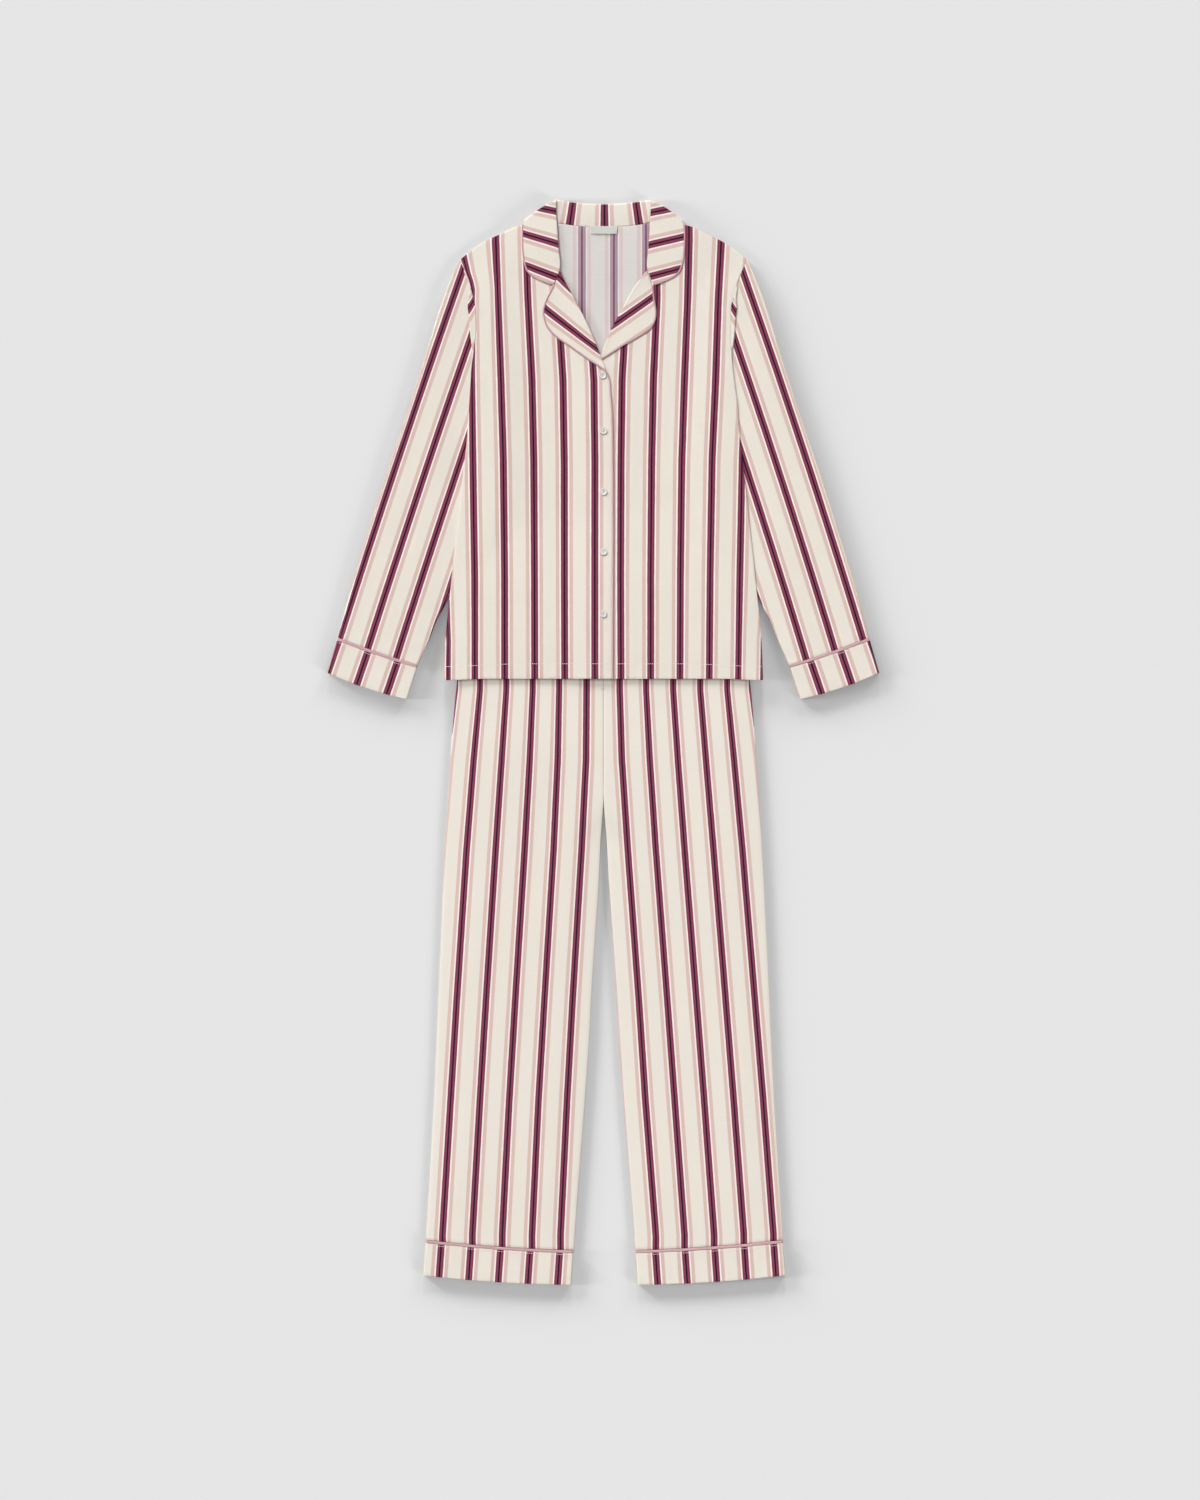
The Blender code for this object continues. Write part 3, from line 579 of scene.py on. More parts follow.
rightSide = {
    "Cream": (236, 228, 216), "Pink": (222, 192, 183), "White": (246, 240, 231),
    "Plum": (126, 48, 76), "Rim": (140, 60, 89), "Core": (26, 6, 22),
    "roughness": 0.88, "sheen": 0.06, "slub": 0.05, "nap": 0.03,
}
wrongSide = {
    "Cream": (224, 218, 214), "Pink": (219, 203, 200), "White": (227, 222, 219),
    "Plum": (173, 135, 150), "Rim": (183, 149, 162), "Core": (106, 82, 101),
    "roughness": 0.9, "sheen": 0.06, "slub": 0.07, "nap": 0.03,
}
stripedCloth = stripedMaterial("stripedCotton", rightSide)
stripedInside = stripedMaterial("stripedCottonInside", wrongSide)
rightOut, wrongOut = (stripedCloth, stripedInside), (stripedInside, stripedCloth)
rightBoth = (stripedCloth,) * 2


def plainClothMaterial(name, colour, roughness, threads, slub, nap):
    material, tree, shader = newMaterial(name, roughness, 0.06)
    clothSurface(tree, shader, srgb(*colour), threads, slub, nap)
    return material


pipingCotton = plainClothMaterial("pipingCotton", (207, 168, 171), 0.85, 2000.0, 0.08, 0.05)
sewingThread = plainClothMaterial("sewingThread", (238, 226, 221), 0.6, 3500.0, 0.05, 0.02)
labelWoven = plainClothMaterial("labelWoven", (211, 211, 205), 0.6, 2600.0, 0.03, 0.02)


# colours, and the painted shade in the recessed middle and the painted shadow round the button's foot, as
# how far out each turns, over what width, and how much it darkens
pearl = {
    "dark": (222, 217, 210), "light": (244, 242, 238), "streak": (230, 218, 214), "streaked": 0.4,
    "recessShade": (0.0028, 0.0005, 0.6), "recessShadeColour": (186, 184, 178),
    "skirtShade": (0.0047, 0.0004, 0.5), "skirtShadeColour": (158, 150, 142), "roughMore": 0.2, "roughLeast": 0.18,
}


def pearlMaterial():
    material, tree, shader = newMaterial("buttonPearl", 0.28, 0.0, 0.4)
    where = tree.nodes.new("ShaderNodeTexCoord").outputs["Object"]
    cloud = noise(tree, scaled(tree, where, (260, 420, 260)), 1.0, 4.0)
    streak = noise(tree, scaled(tree, where, (90, 900, 90)), 1.0, 3.0)
    colour = mixed(tree, cloud, srgb(*pearl["dark"]), srgb(*pearl["light"]))
    colour = mixed(tree, times(tree, streak, pearl["streaked"]), colour, srgb(*pearl["streak"]))
    split = tree.nodes.new("ShaderNodeSeparateXYZ")
    tree.links.new(where, split.inputs[0])
    squares = [calc(tree, "POWER", calc(tree, "ABSOLUTE", split.outputs[k]), 2.0) for k in (0, 1)]
    away = calc(tree, "SQRT", plus(tree, *squares))
    # painted shade: the recessed middle inside the rim is darkened, where the real button lies in shade
    at, soft, most = pearl["recessShade"]
    recessShade = times(tree, within(tree, at, away, soft), most)
    colour = mixed(tree, recessShade, colour, srgb(*pearl["recessShadeColour"]))
    # painted shadow: the sloping foot of the button is darkened, as if shaded where it meets the cloth
    at, soft, most = pearl["skirtShade"]
    skirtShade = times(tree, within(tree, away, at, soft), most)
    colour = mixed(tree, skirtShade, colour, srgb(*pearl["skirtShadeColour"]))
    tree.links.new(colour, shader.inputs["Base Color"])
    rough = plus(tree, times(tree, cloud, pearl["roughMore"]), pearl["roughLeast"])
    tree.links.new(rough, shader.inputs["Roughness"])
    addBump(tree, shader, streak, 0.15, 0.0001)
    return material


buttonPearl = pearlMaterial()


def floorMaterial():
    material, tree, shader = newMaterial("floorPaper", 0.85)
    where = tree.nodes.new("ShaderNodeTexCoord").outputs["Object"]
    grain = noise(tree, where, 380.0, 3.0)
    tone = plus(tree, swing(tree, grain, 0.5, 0.015), 1.0)
    tree.links.new(mixed(tree, 1.0, srgb(229, 229, 229), tone, "MULTIPLY"), shader.inputs["Base Color"])
    addBump(tree, shader, grain, 0.05, 0.0002)
    return material


print("materials ready")


# Building cloth

def asObject(name, mesh, materials):
    for material in materials:
        mesh.materials.append(material)
    obj = bpy.data.objects.new(name, mesh)
    bpy.context.scene.collection.objects.link(obj)
    return obj


def finished(name, mesh, *materials):
    # the mesh as a smooth object, its faces turned outward
    bm = bmesh.new()
    bm.from_mesh(mesh)
    bmesh.ops.recalc_face_normals(bm, faces=bm.faces)
    bm.to_mesh(mesh)
    bm.free()
    mesh.shade_smooth()
    return asObject(name, mesh, materials)


def dress(obj, *nodes, slot="striped_cloth"):
    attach(obj, body)
    if nodes:
        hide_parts(*nodes)


# how much of a panel follows its drawn-in edge, and the most of that stretch that the edge may take
rim = {"reach": 6.0, "share": 0.7, "angles": (45, 90, 135)}


def drawnIn(points, distance, closed):
    # the grid with its edges moved in to leave room for the rims; the points beside them follow
    points = points.copy()
    for axis in (0,) if closed else (0, 1):
        for line in (np.moveaxis(points, axis, 0), np.moveaxis(points, axis, 0)[::-1]):
            steps = np.linalg.norm(np.diff(line, axis=0), axis=-1, keepdims=True)
            lengths = np.concatenate((0 * steps[:1], np.cumsum(steps, 0)))
            reach = np.minimum(rim["reach"], lengths[-1] / 2)
            share = np.clip(1 - lengths / np.maximum(reach, 1e-6), 0, 1)
            line += share * np.minimum(distance, reach * rim["share"]) * unit(line[1] - line[0])
    return points


def shellNormals(points, over, down, closed):
    # facing out of a ring, and up from a panel
    normals = unit(np.cross(over, down))
    if closed:
        turned = ((points - points.mean(axis=1, keepdims=True)) * normals).sum() < 0
    else:
        turned = normals[..., 2].mean() < 0
    return -normals if turned else normals


def rimLoops(index, over, down, closed):
    # the points along each raw edge, and which way out of the cloth each one faces
    if closed:
        return [(index[0], -unit(down[0])), (index[-1], unit(down[-1]))]
    edge = np.concatenate((index[0, :-1], index[:-1, -1], index[-1, :0:-1], index[:0:-1, 0]))
    way = np.zeros((*index.shape, 3))
    way[0] -= unit(down[0])
    way[-1] += unit(down[-1])
    way[:, 0] -= unit(over[:, 0])
    way[:, -1] += unit(over[:, -1])
    return [(edge, unit(way.reshape(-1, 3)[edge]))]


def quadMesh(name, vertices, faces, corners, kinds):
    mesh = bpy.data.meshes.new(name)
    mesh.vertices.add(len(vertices))
    mesh.vertices.foreach_set("co", (vertices * mm).astype(np.float32).ravel())
    mesh.loops.add(len(faces) * 4)
    mesh.loops.foreach_set("vertex_index", faces.astype(np.int32).ravel())
    mesh.polygons.add(len(faces))
    mesh.polygons.foreach_set("loop_start", np.arange(0, len(faces) * 4, 4, dtype=np.int32))
    mesh.polygons.foreach_set("material_index", kinds)
    mesh.update(calc_edges=True)
    layer = mesh.uv_layers.new(name="cloth")
    layer.data.foreach_set("uv", (corners * mm).astype(np.float32).ravel())
    return mesh


def makeShell(name, points, weave, materials=rightOut, wall=layers["wall"], closed=False):
    # cloth of this wall round a grid of middle points, with round rims; weave holds its UV in mm
    points = np.array(points, float)
    rows, columns = points.shape[:2]
    down = np.gradient(points, axis=0)
    over = (np.roll(points, -1, 1) - np.roll(points, 1, 1)) / 2 if closed else np.gradient(points, axis=1)
    index = np.arange(rows * columns).reshape(rows, columns)
    flat = drawnIn(points, wall / 2, closed).reshape(-1, 3)
    flatNormals = shellNormals(points, over, down, closed).reshape(-1, 3)
    vertices = [flat + flatNormals * wall / 2, flat - flatNormals * wall / 2]
    wide = weave if weave.shape[1] > columns else np.concatenate((weave, weave[:, :1]), 1)
    faces, corners = [], []

    def quads(a, b, c, d, ua, ub, uc, ud):
        faces.append(np.stack((a, b, c, d), -1).reshape(-1, 4))
        corners.append(np.stack((ua, ub, uc, ud), -2).reshape(-1, 4, 2))

    right = np.roll(index, -1, 1) if closed else index[:, 1:]
    left = index if closed else index[:, :-1]
    count = left.shape[1]
    uvs = (wide[:-1, :count], wide[:-1, 1 : count + 1], wide[1:, 1 : count + 1], wide[1:, :count])
    quads(left[:-1], right[:-1], right[1:], left[1:], *uvs)
    outerCount = len(faces[0])
    under = (side + index.size for side in (left[:-1], left[1:], right[1:], right[:-1]))
    quads(*under, uvs[0], uvs[3], uvs[2], uvs[1])
    start = 2 * index.size
    flatWeave = weave[:, :columns].reshape(-1, 2)
    for spots, way in rimLoops(index, over, down, closed):
        rings = [spots]
        for angle in rim["angles"]:
            turn = math.radians(angle)
            outward = flatNormals[spots] * math.cos(turn) + way * math.sin(turn)
            vertices.append(flat[spots] + wall / 2 * outward)
            rings.append(np.arange(len(spots)) + start)
            start += len(spots)
        rings.append(spots + index.size)
        uv = flatWeave[spots]
        after = np.roll(uv, -1, 0)
        if closed:
            row = 0 if spots[0] == 0 else -1
            after = np.concatenate((uv[1:], wide[row, -1:]))
        for near, far in zip(rings, rings[1:]):
            quads(near, np.roll(near, -1), np.roll(far, -1), far, uv, after, after, uv)
    kinds = np.zeros(sum(len(some) for some in faces), np.int32)
    kinds[outerCount : 2 * outerCount] = len(materials) - 1
    mesh = quadMesh(name, *(np.concatenate(some) for some in (vertices, faces, corners)), kinds)
    return finished(name, mesh, *materials)


def weaveOf(plan, number):
    # UV of a flat panel: across the stripes, and along the cloth
    across = number(plan[..., 0], plan[..., 1]) * stripes["repeat"]
    return np.dstack((across, plan[..., 1]))


def halfTurn(start, end, way, steps):
    # points between start and end, on the half circle that bulges along way
    middle, arm = (start + end) / 2, (start - end) / 2
    reach = np.linalg.norm(arm, axis=-1, keepdims=True)
    angles = np.pi * np.arange(1, steps + 1) / (steps + 1)
    return np.stack([middle + arm * math.cos(a) + unit(way) * reach * math.sin(a) for a in angles], -2)


tube = {"underStep": 2, "foldSteps": 7}


def flatTube(plan, thick, wall, number):
    # rings of a flattened tube over a plan that runs from its outer fold to its inner one; the
    # pattern goes round both folds and meets under the middle
    steps = tube["foldSteps"]
    plan = np.array(plan, float)
    height = thick(plan[..., 0], plan[..., 1])
    numbers = number(plan[..., 0], plan[..., 1]) * stripes["repeat"]
    reach = (height / 2)[:, [0, -1], None]
    inward = unit(plan[:, [1, -2]] - plan[:, [0, -1]])
    plan[:, [0, -1]] += inward * reach
    high = np.dstack((plan, height - wall / 2))
    low = np.dstack((plan, np.full_like(height, wall / 2)))
    picked = sorted(set(range(0, plan.shape[1], tube["underStep"])) | {plan.shape[1] - 1})
    low = low[:, picked]
    flatWay = np.dstack((-inward, np.zeros(inward.shape[:2])))
    outer = halfTurn(high[:, 0], low[:, 0], flatWay[:, 0], steps)
    inner = halfTurn(low[:, -1], high[:, -1], flatWay[:, 1], steps)
    half = len(picked) // 2
    ring = np.concatenate((low[:, half:], inner, high[:, ::-1], outer, low[:, :half]), 1)
    first = len(picked) - half + steps
    last = first + plan.shape[1] - 1
    around = np.linalg.norm(np.diff(np.concatenate((ring, ring[:, :1]), 1), axis=1), axis=-1)
    arcs = np.concatenate((np.zeros((len(ring), 1)), np.cumsum(around, 1)), 1)
    sign = np.sign(numbers[:, :1] - numbers[:, -1:])
    across = numbers[:, -1:] - sign * (arcs[:, first : first + 1] - arcs)
    across[:, first : last + 1] = numbers[:, ::-1]
    across[:, last + 1 :] = numbers[:, :1] + sign * (arcs[:, last + 1 :] - arcs[:, last : last + 1])
    lengths = lineLengths(plan[:, plan.shape[1] // 2])[:, None] + np.zeros_like(across)
    return ring, np.dstack((across, -lengths))


def makeTrim(name, path, radius, material, segments=12):
    # a cord of cloth swept along points in mm, with rounded ends
    path = np.array(path, float)
    way = unit(np.gradient(path, axis=0))
    side = unit(np.cross(way, (0.0, 0.0, 1.0)))
    up = np.cross(side, way)
    turns = np.arange(segments) * 2 * np.pi / segments
    cos, sin = np.cos(turns)[None, :, None], np.sin(turns)[None, :, None]
    rings = [path[:, None] + radius * (side[:, None] * cos + up[:, None] * sin)]
    lengths = lineLengths(path)
    for end, sign in ((0, -1), (-1, 1)):
        for angle in (30, 60):
            turn = math.radians(angle)
            centre = path[end] + sign * way[end] * radius * math.sin(turn)
            ring = centre + (rings[0][end] - path[end]) * math.cos(turn)
            rings.append(ring[None])
    cord = np.concatenate([rings[k] for k in (2, 1, 0, 3, 4)])
    lengths = np.concatenate(((-radius, -radius / 2), lengths, lengths[-1] + np.array((0.5, 1)) * radius))
    count = len(cord)
    tipSpots = (path[0] - way[0] * radius, path[-1] + way[-1] * radius)
    vertices = np.concatenate((cord.reshape(-1, 3), tipSpots))
    index = np.arange(count * segments).reshape(count, segments)
    after = np.roll(index, -1, 1)
    quads = np.stack((index[:-1], after[:-1], after[1:], index[1:]), -1).reshape(-1, 4).tolist()
    tips = [(count * segments, b, a) for a, b in zip(index[0], after[0])]
    tips += [(count * segments + 1, a, b) for a, b in zip(index[-1], after[-1])]
    mesh = bpy.data.meshes.new(name)
    mesh.from_pydata((vertices * mm).tolist(), [], quads + [tuple(int(k) for k in tip) for tip in tips])
    layer = mesh.uv_layers.new(name="cloth")
    around = np.arange(segments + 1) / segments * 2 * math.pi * radius
    slant = 0.7  # the strip is cut aslant
    uv = []
    for row in range(count - 1):
        for k in range(segments):
            for r, c in ((row, k), (row, k + 1), (row + 1, k + 1), (row + 1, k)):
                uv += ((around[c] + lengths[r] * slant) * mm, (lengths[r] - around[c] * slant) * mm)
    for _ in tips:
        uv += (0.0, 0.0, 0.0, radius * mm, radius * mm, 0.0)
    layer.data.foreach_set("uv", uv)
    return finished(name, mesh, material)


# a stitch: its sides, its rings as (place along, width), and how far its ends dip
oneStitch = {"sides": 6, "rings": ((-0.34, 0.8), (0, 1), (0.34, 0.8)), "dip": 0.6}


def makeStitches(name, paths, settings, material):
    # a row of small thread stitches sunk in the cloth along each path of points in mm
    vertices, faces, corners = [], [], oneStitch["sides"]
    turns = [k * 2 * math.pi / corners for k in range(corners)]
    for path in paths:
        path = np.array(path, float)
        total = lineLengths(path)[-1]
        count = max(int(total / settings["pitch"]), 1)
        for k in range(count):
            here = along(path, (k + 0.5) / count)
            ahead, behind = along(path, min((k + 0.6) / count, 1)), along(path, max((k + 0.4) / count, 0))
            way = unit(ahead - behind)
            side = unit(np.cross(way, (0.0, 0.0, 1.0)))
            up = np.cross(side, way)
            start = len(vertices)
            for share, width in oneStitch["rings"]:
                spot = here + way * share * settings["length"]
                for turn in turns:
                    aside = side * math.cos(turn) + up * math.sin(turn)
                    vertices.append(spot + settings["radius"] * width * aside)
            tips = len(vertices)
            for sign in (-1, 1):
                dip = up * settings["radius"] * oneStitch["dip"]
                vertices.append(here + way * sign * settings["length"] / 2 - dip)
            first, second, third = (start + level * corners for level in range(3))
            for j in range(corners):
                n = (j + 1) % corners
                faces.append((first + j, first + n, second + n, second + j))
                faces.append((second + j, second + n, third + n, third + j))
                faces.append((tips, first + n, first + j))
                faces.append((tips + 1, third + j, third + n))
    mesh = bpy.data.meshes.new(name)
    mesh.from_pydata([tuple(v * mm for v in vertex) for vertex in vertices], [], faces)
    layer = mesh.uv_layers.new(name="cloth")
    places = np.array([mesh.vertices[loop.vertex_index].co[:2] for loop in mesh.loops])
    layer.data.foreach_set("uv", places.astype(np.float32).ravel())
    mesh.shade_smooth()
    return asObject(name, mesh, [material])


# Shirt back and fronts

neckHalf = np.vstack((smoothLine(shirt["shoulder"][::-1], -1)[:-1], smoothLine(shirt["backNeck"], -1)))
topLine = np.vstack((neckHalf, (neckHalf * (-1, 1))[-2::-1]))


def hemFrom(start, end):
    x = np.linspace(start, end, 61)
    return np.column_stack((x, shirt["hem"] - shirt["hemDip"] * ramp(np.abs(x), *shirt["hemDipAcross"])))


def sideFrom(rows, side):
    # a side edge, pushed a little over near the armpit
    line = smoothLine(rows, side)
    most, middle, reach = shirt["sidePushed"][side]
    share = np.clip(np.abs(line[:, 1] - middle) / reach, 0, 1)
    line[:, 0] += most * np.cos(share * np.pi / 2) ** 2
    return line


hemLine = hemFrom(*(side * shirt["side"][-1][0] for side in (-1, 1)))
insideAt, insideStep = stripes["inside"]
shirtNumber = {side: stripeNumber("shirt", side) for side in (-1, 1)}


def insideNumber(x, y):
    return (x - insideAt) / insideStep


backPlan = patch(topLine, hemLine, *(sideFrom(shirt["side"], side) for side in (-1, 1)), *shirt["backGrid"])
backWeave = weaveOf(backPlan, insideNumber)
dress(makeShell("shirtBack", raised(backPlan, backLevel), backWeave, wrongOut), "shirt_back")

# the wearer's right front is the upper one
halves = ((-1, "Right", "upper", upperFrontLevel), (1, "Left", "lower", lowerFrontLevel))
for side, word, which, level in halves:
    edge = shirt[which + "Edge"]
    hem = hemFrom(edge[-1][0], side * shirt["side"][-1][0])
    shoulder, seam = smoothLine(shirt["shoulder"], side), sideFrom(shirt["frontSide"], side)
    plan = patch(shoulder, hem, smoothLine(edge), seam, *shirt["frontGrid"])
    front = makeShell("shirtFront" + word, raised(plan, level), weaveOf(plan, shirtNumber[side]))
    dress(front, "shirt_front_" + word.lower())
print("shirt body made")


# Lapels

lapel = {
    "upperRoll": (
        (-61.8, 661), (-56, 648.2), (-44.8, 627.8), (-36, 611.8), (-27.2, 594.2), (-16, 569.8),
        (-4.8, 542.5), (-1.6, 534.6), (2.2, 525), (3.9, 520.6), (5.2, 517.2),
    ),
    "upperEdge": (
        (-71, 638), (-76.5, 627.8), (-82.6, 614.6), (-85.1, 603.4), (-84, 592.2), (-78.4, 578.6),
        (-67.2, 566.8), (-47.2, 552.8), (-24.9, 536.6), (-6.8, 524.6), (0.1, 519.4), (3.3, 516),
    ),
    "lowerRoll": (
        (61.2, 660), (55.4, 652.5), (43.4, 637), (35.2, 623.4), (28.2, 609.4), (18.6, 592), (10.6, 576.4),
        (5.4, 564.4), (1.2, 554.4), (-2.8, 541.8), (-4.4, 537.4),
    ),
    "lowerEdge": (
        (69.5, 638), (71.6, 618.8), (74.2, 603.4), (72.8, 589.8), (66.6, 578.6), (51, 567.4),
        (24.2, 551.9), (12, 543.8), (4, 538.6), (-3.2, 535),
    ),
    "frontEdge": (
        (8.2, 511.8), (9.6, 506.4), (10.6, 498), (10.8, 489), (11.9, 478), (13, 464), (13.6, 450),
        (13.9, 436), (14.1, 420), (14.1, 88.5),
    ),
    "inset": 2.15, "gorge": 1.0, "tip": 1.7, "rollRadius": 1.2, "rollTurn": 120, "grid": (26, 60),
    "upperStripes": ((0, -9.0, 549.4, -82.9, 606.8), (1, -33.6, 622.5, -73.6, 662.5)),
    "lowerStripes": ((0, 13, 583.1, 68.9, 622.2), (1, -1.5, 623.2, 54.4, 662.3)),
}


def rolledEdge(points, radius, steps=7):
    # turns the first column's edge down, keeping its furthest reach where it was
    wall = layers["wall"]
    first, second = points[:, 0], points[:, 1]
    way = first - second
    way[:, 2] = 0
    width = np.linalg.norm(points[:, -1] - points[:, 0], axis=1)[:, None]
    way = unit(way)
    radius = np.minimum(radius, width / 5)
    start = first - way * (radius + wall / 2)
    turn = []
    for k in range(steps, 0, -1):
        angle = math.radians(lapel["rollTurn"]) * k / steps
        drop = np.zeros_like(first)
        drop[:, 2] = 1 - math.cos(angle)
        turn.append(start + radius * (way * math.sin(angle) - drop))
    shares = np.linspace(0, 1, points.shape[1])[None, :, None]
    flat = points.copy()
    flat[..., :2] = (start[:, None, :2] * (1 - shares) + points[:, -1:, :2] * shares)
    curved = points[..., :2] - (points[:, :1, :2] * (1 - shares) + points[:, -1:, :2] * shares)
    flat[..., :2] += curved
    return np.concatenate((np.stack(turn, 1), flat), 1)


def makeLapel(name, roll, edge, level, lines):
    side = math.copysign(1, edge[0][0])
    outer = moved(smoothLine(edge), -side * lapel["inset"])
    rollLine = smoothLine(roll)
    gorge, tip = np.array((rollLine[0], outer[0])), np.array((rollLine[-1], outer[-1]))
    plan = patch(gorge, tip, rollLine, outer, *lapel["grid"])
    plan[0] += unit(plan[1] - plan[0]) * lapel["gorge"]
    plan = plan[np.linalg.norm(plan[:, -1] - plan[:, 0], axis=1) > lapel["tip"]]
    points = rolledEdge(raised(plan, onTop(level)), lapel["rollRadius"])
    numbers = linesNumber(lines)(points[..., 0], points[..., 1])
    weave = np.dstack((numbers * stripes["repeat"], points[..., 0] * side))
    return makeShell(name, points, weave)


for _, word, which, level in halves:
    roll, edge, lines = (lapel[which + part] for part in ("Roll", "Edge", "Stripes"))
    dress(makeLapel("lapel" + word, roll, edge, level, lines), "lapel_" + word.lower())


# Collar

collar = {
    "neckSeam": (720.3, 6.9), "top": (752.5, 6.3), "fall": (688.0, 8.0), "half": 66.6, "standCrown": 0.5,
    "columns": 60, "fallRows": 20, "standRows": 14, "bendRows": 8, "returnRows": 8, "leafGrid": (24, 44),
    "stripes": (1.4, 48.6, 44.0),
    "fold": ((66.2, 759), (81, 751.5), (98, 740.3), (114, 729.5)),
    "roll": ((66.2, 759), (66.0, 742), (64.4, 714), (62.6, 688), (61.3, 662), (65, 651), (70.3, 638.2)),
    "outer": ((114, 729.5), (114.6, 705.6), (113.6, 684), (111, 668)),
    "lower": ((70.3, 638.2), (86, 644), (99, 650.5), (106.5, 657), (111, 668)),
    "returnEnd": ((71.5, 697.5), (112, 713)),
    "rightStripes": (
        (0, -68.6, 742.7, -86.2, 746.2), (1, -65.1, 696.9, -113.7, 711.5), (2, -68.5, 651.1, -109.8, 666.8),
    ),
    "leftStripes": (
        (0, 87.9, 744.8, 66.6, 740.6), (1, 110.2, 705.9, 62.2, 694.7), (2, 104.6, 661.2, 61.7, 650),
    ),
}


def makeCollarBack():
    wall = layers["wall"]
    x = np.linspace(-1, 1, collar["columns"] + 1)[:, None] * collar["half"]
    rise = (x / collar["half"]) ** 2
    seam, top, fall = (y + more * rise for y, more in (collar["neckSeam"], collar["top"], collar["fall"]))
    topLevel = layers["collar"] + wall / 2
    radius = (topLevel - wall / 2) / 2
    turn = top - radius - wall / 2

    def line(a, b, count, low):
        shares = np.linspace(0, 1, count)[None]
        y = a + (b - a) * shares
        bow = 0 if low else collar["standCrown"] * np.sin(np.pi * shares)
        z = (wall / 2 if low else topLevel) + bow + 0 * y
        return np.dstack((x + 0 * y, y, z))

    behind = line(fall, turn, collar["fallRows"], True)
    stand = line(turn, seam, collar["standRows"], False)
    bend = halfTurn(behind[:, -1], stand[:, 0], np.array((0.0, 1.0, 0.0)), collar["bendRows"])
    points = np.concatenate((behind, bend, stand), 1)
    at, low, high = collar["stripes"]
    share = np.clip((points[..., 1] - seam) / (top - seam), 0, 1)
    across = (points[..., 0] - at) / (low + (high - low) * share) * stripes["repeat"]
    steps = np.linalg.norm(np.diff(points, axis=1), axis=-1)
    lengths = np.concatenate((np.zeros((len(points), 1)), np.cumsum(steps, 1)), 1)
    return makeShell("collarBack", points, np.dstack((across, lengths)), rightBoth)


dress(makeCollarBack(), "collar_back")


def leafOutline(side):
    steps = 14
    outline = smoothLine(collar["outer"][:-1] + collar["lower"][::-1], side, steps)
    return outline, steps * (len(collar["outer"]) - 1)


def makeLeaf(name, side, lines):
    wall, level = layers["wall"], onTop(lowerFrontLevel)
    outline, corner = leafOutline(side)
    inset = moved(outline, -side * lapel["inset"])
    outer, lower = inset[: corner + 1], inset[corner:][::-1]
    folded = smoothLine(collar["fold"][:-1] + ((outer[0][0] * side, outer[0][1]),), side)
    roll = smoothLine(collar["roll"][:-1] + ((lower[0][0] * side, lower[0][1]),), side)
    turn = (level(*folded.T) - wall / 2) / 2
    way = unit(moved(folded, side) - folded)
    folded = folded - way * (turn[:, None] + wall / 2)
    roll = roll[roll[:, 1] < folded[0][1]]
    outer = outer[outer[:, 1] < folded[-1][1]]
    roll, outer = np.vstack((folded[:1], roll)), np.vstack((folded[-1:], outer))
    plan = patch(folded, lower, roll, outer, *collar["leafGrid"])
    leaf = raised(plan, level)
    height = leaf[0, :, 2]
    way = along(way, np.linspace(0, 1, plan.shape[1]))
    high = leaf[0]
    low = np.column_stack((plan[0], np.full_like(height, wall / 2)))
    flatWay = np.column_stack((way, np.zeros(len(way))))
    bend = halfTurn(low, high, flatWay, collar["bendRows"]).transpose(1, 0, 2)
    ends = np.array(collar["returnEnd"], float) * (side, 1)
    end = along(ends, np.linspace(0, 1, plan.shape[1]))
    end = np.column_stack((end, np.full(len(end), wall / 2)))
    under = end[None] + (low - end)[None] * np.linspace(0, 1, collar["returnRows"] + 1)[:, None, None]
    points = np.concatenate((under, bend, high[None], leaf[1:]))
    numbers = linesNumber(lines)(points[..., 0], points[..., 1])
    first = len(under) + len(bend) // 2
    edge = numbers[first]
    numbers[:first] = 2 * edge - numbers[:first]
    weave = np.dstack((numbers * stripes["repeat"], points[..., 0] * side))
    return makeShell(name, points, weave, rightBoth)


for side, word in sides:
    leaf = makeLeaf("collarLeaf" + word, side, collar[word.lower() + "Stripes"])
    dress(leaf, "collar_leaf_" + word.lower())
print("collar made")


# Piping on the collar, lapels and front

piping = {"radius": 1.1, "front": 1.25, "ring": 3.8, "proud": 0.5, "spacing": 2.0, "grid": (40, 6)}


def onFront(line, level, radius=piping["radius"]):
    count = int(lineLengths(line)[-1] / piping["spacing"])
    spots = along(line, np.linspace(0, 1, count + 1))
    rest = layers["wall"] / 2 + layers["gap"] + radius
    return np.column_stack((spots, level(spots[:, 0], spots[:, 1]) + rest))


for side, word in sides:
    outline, corner = leafOutline(side)
    path = onFront(moved(outline, -side * piping["radius"])[4:-2], lowerFrontLevel)
    trim = makeTrim("collarPiping" + word, path, piping["radius"], pipingCotton)
    dress(trim, "collar_piping_" + word.lower(), slot="piping")

thick = piping["front"]
upperPath = onFront(moved(smoothLine(lapel["upperEdge"]), thick), upperFrontLevel, thick)
frontPath = onFront(moved(smoothLine(lapel["frontEdge"]), -thick), lowerFrontLevel, thick)
trim = makeTrim("frontPipingRight", np.concatenate((upperPath, frontPath)), thick, pipingCotton)
dress(trim, "front_piping_right", slot="piping")
lowerPath = onFront(moved(smoothLine(lapel["lowerEdge"]), -piping["radius"]), lowerFrontLevel)
trim = makeTrim("frontPipingLeft", lowerPath, piping["radius"], pipingCotton)
dress(trim, "front_piping_left", slot="piping")
print("piping made")


# Sleeves and cuffs

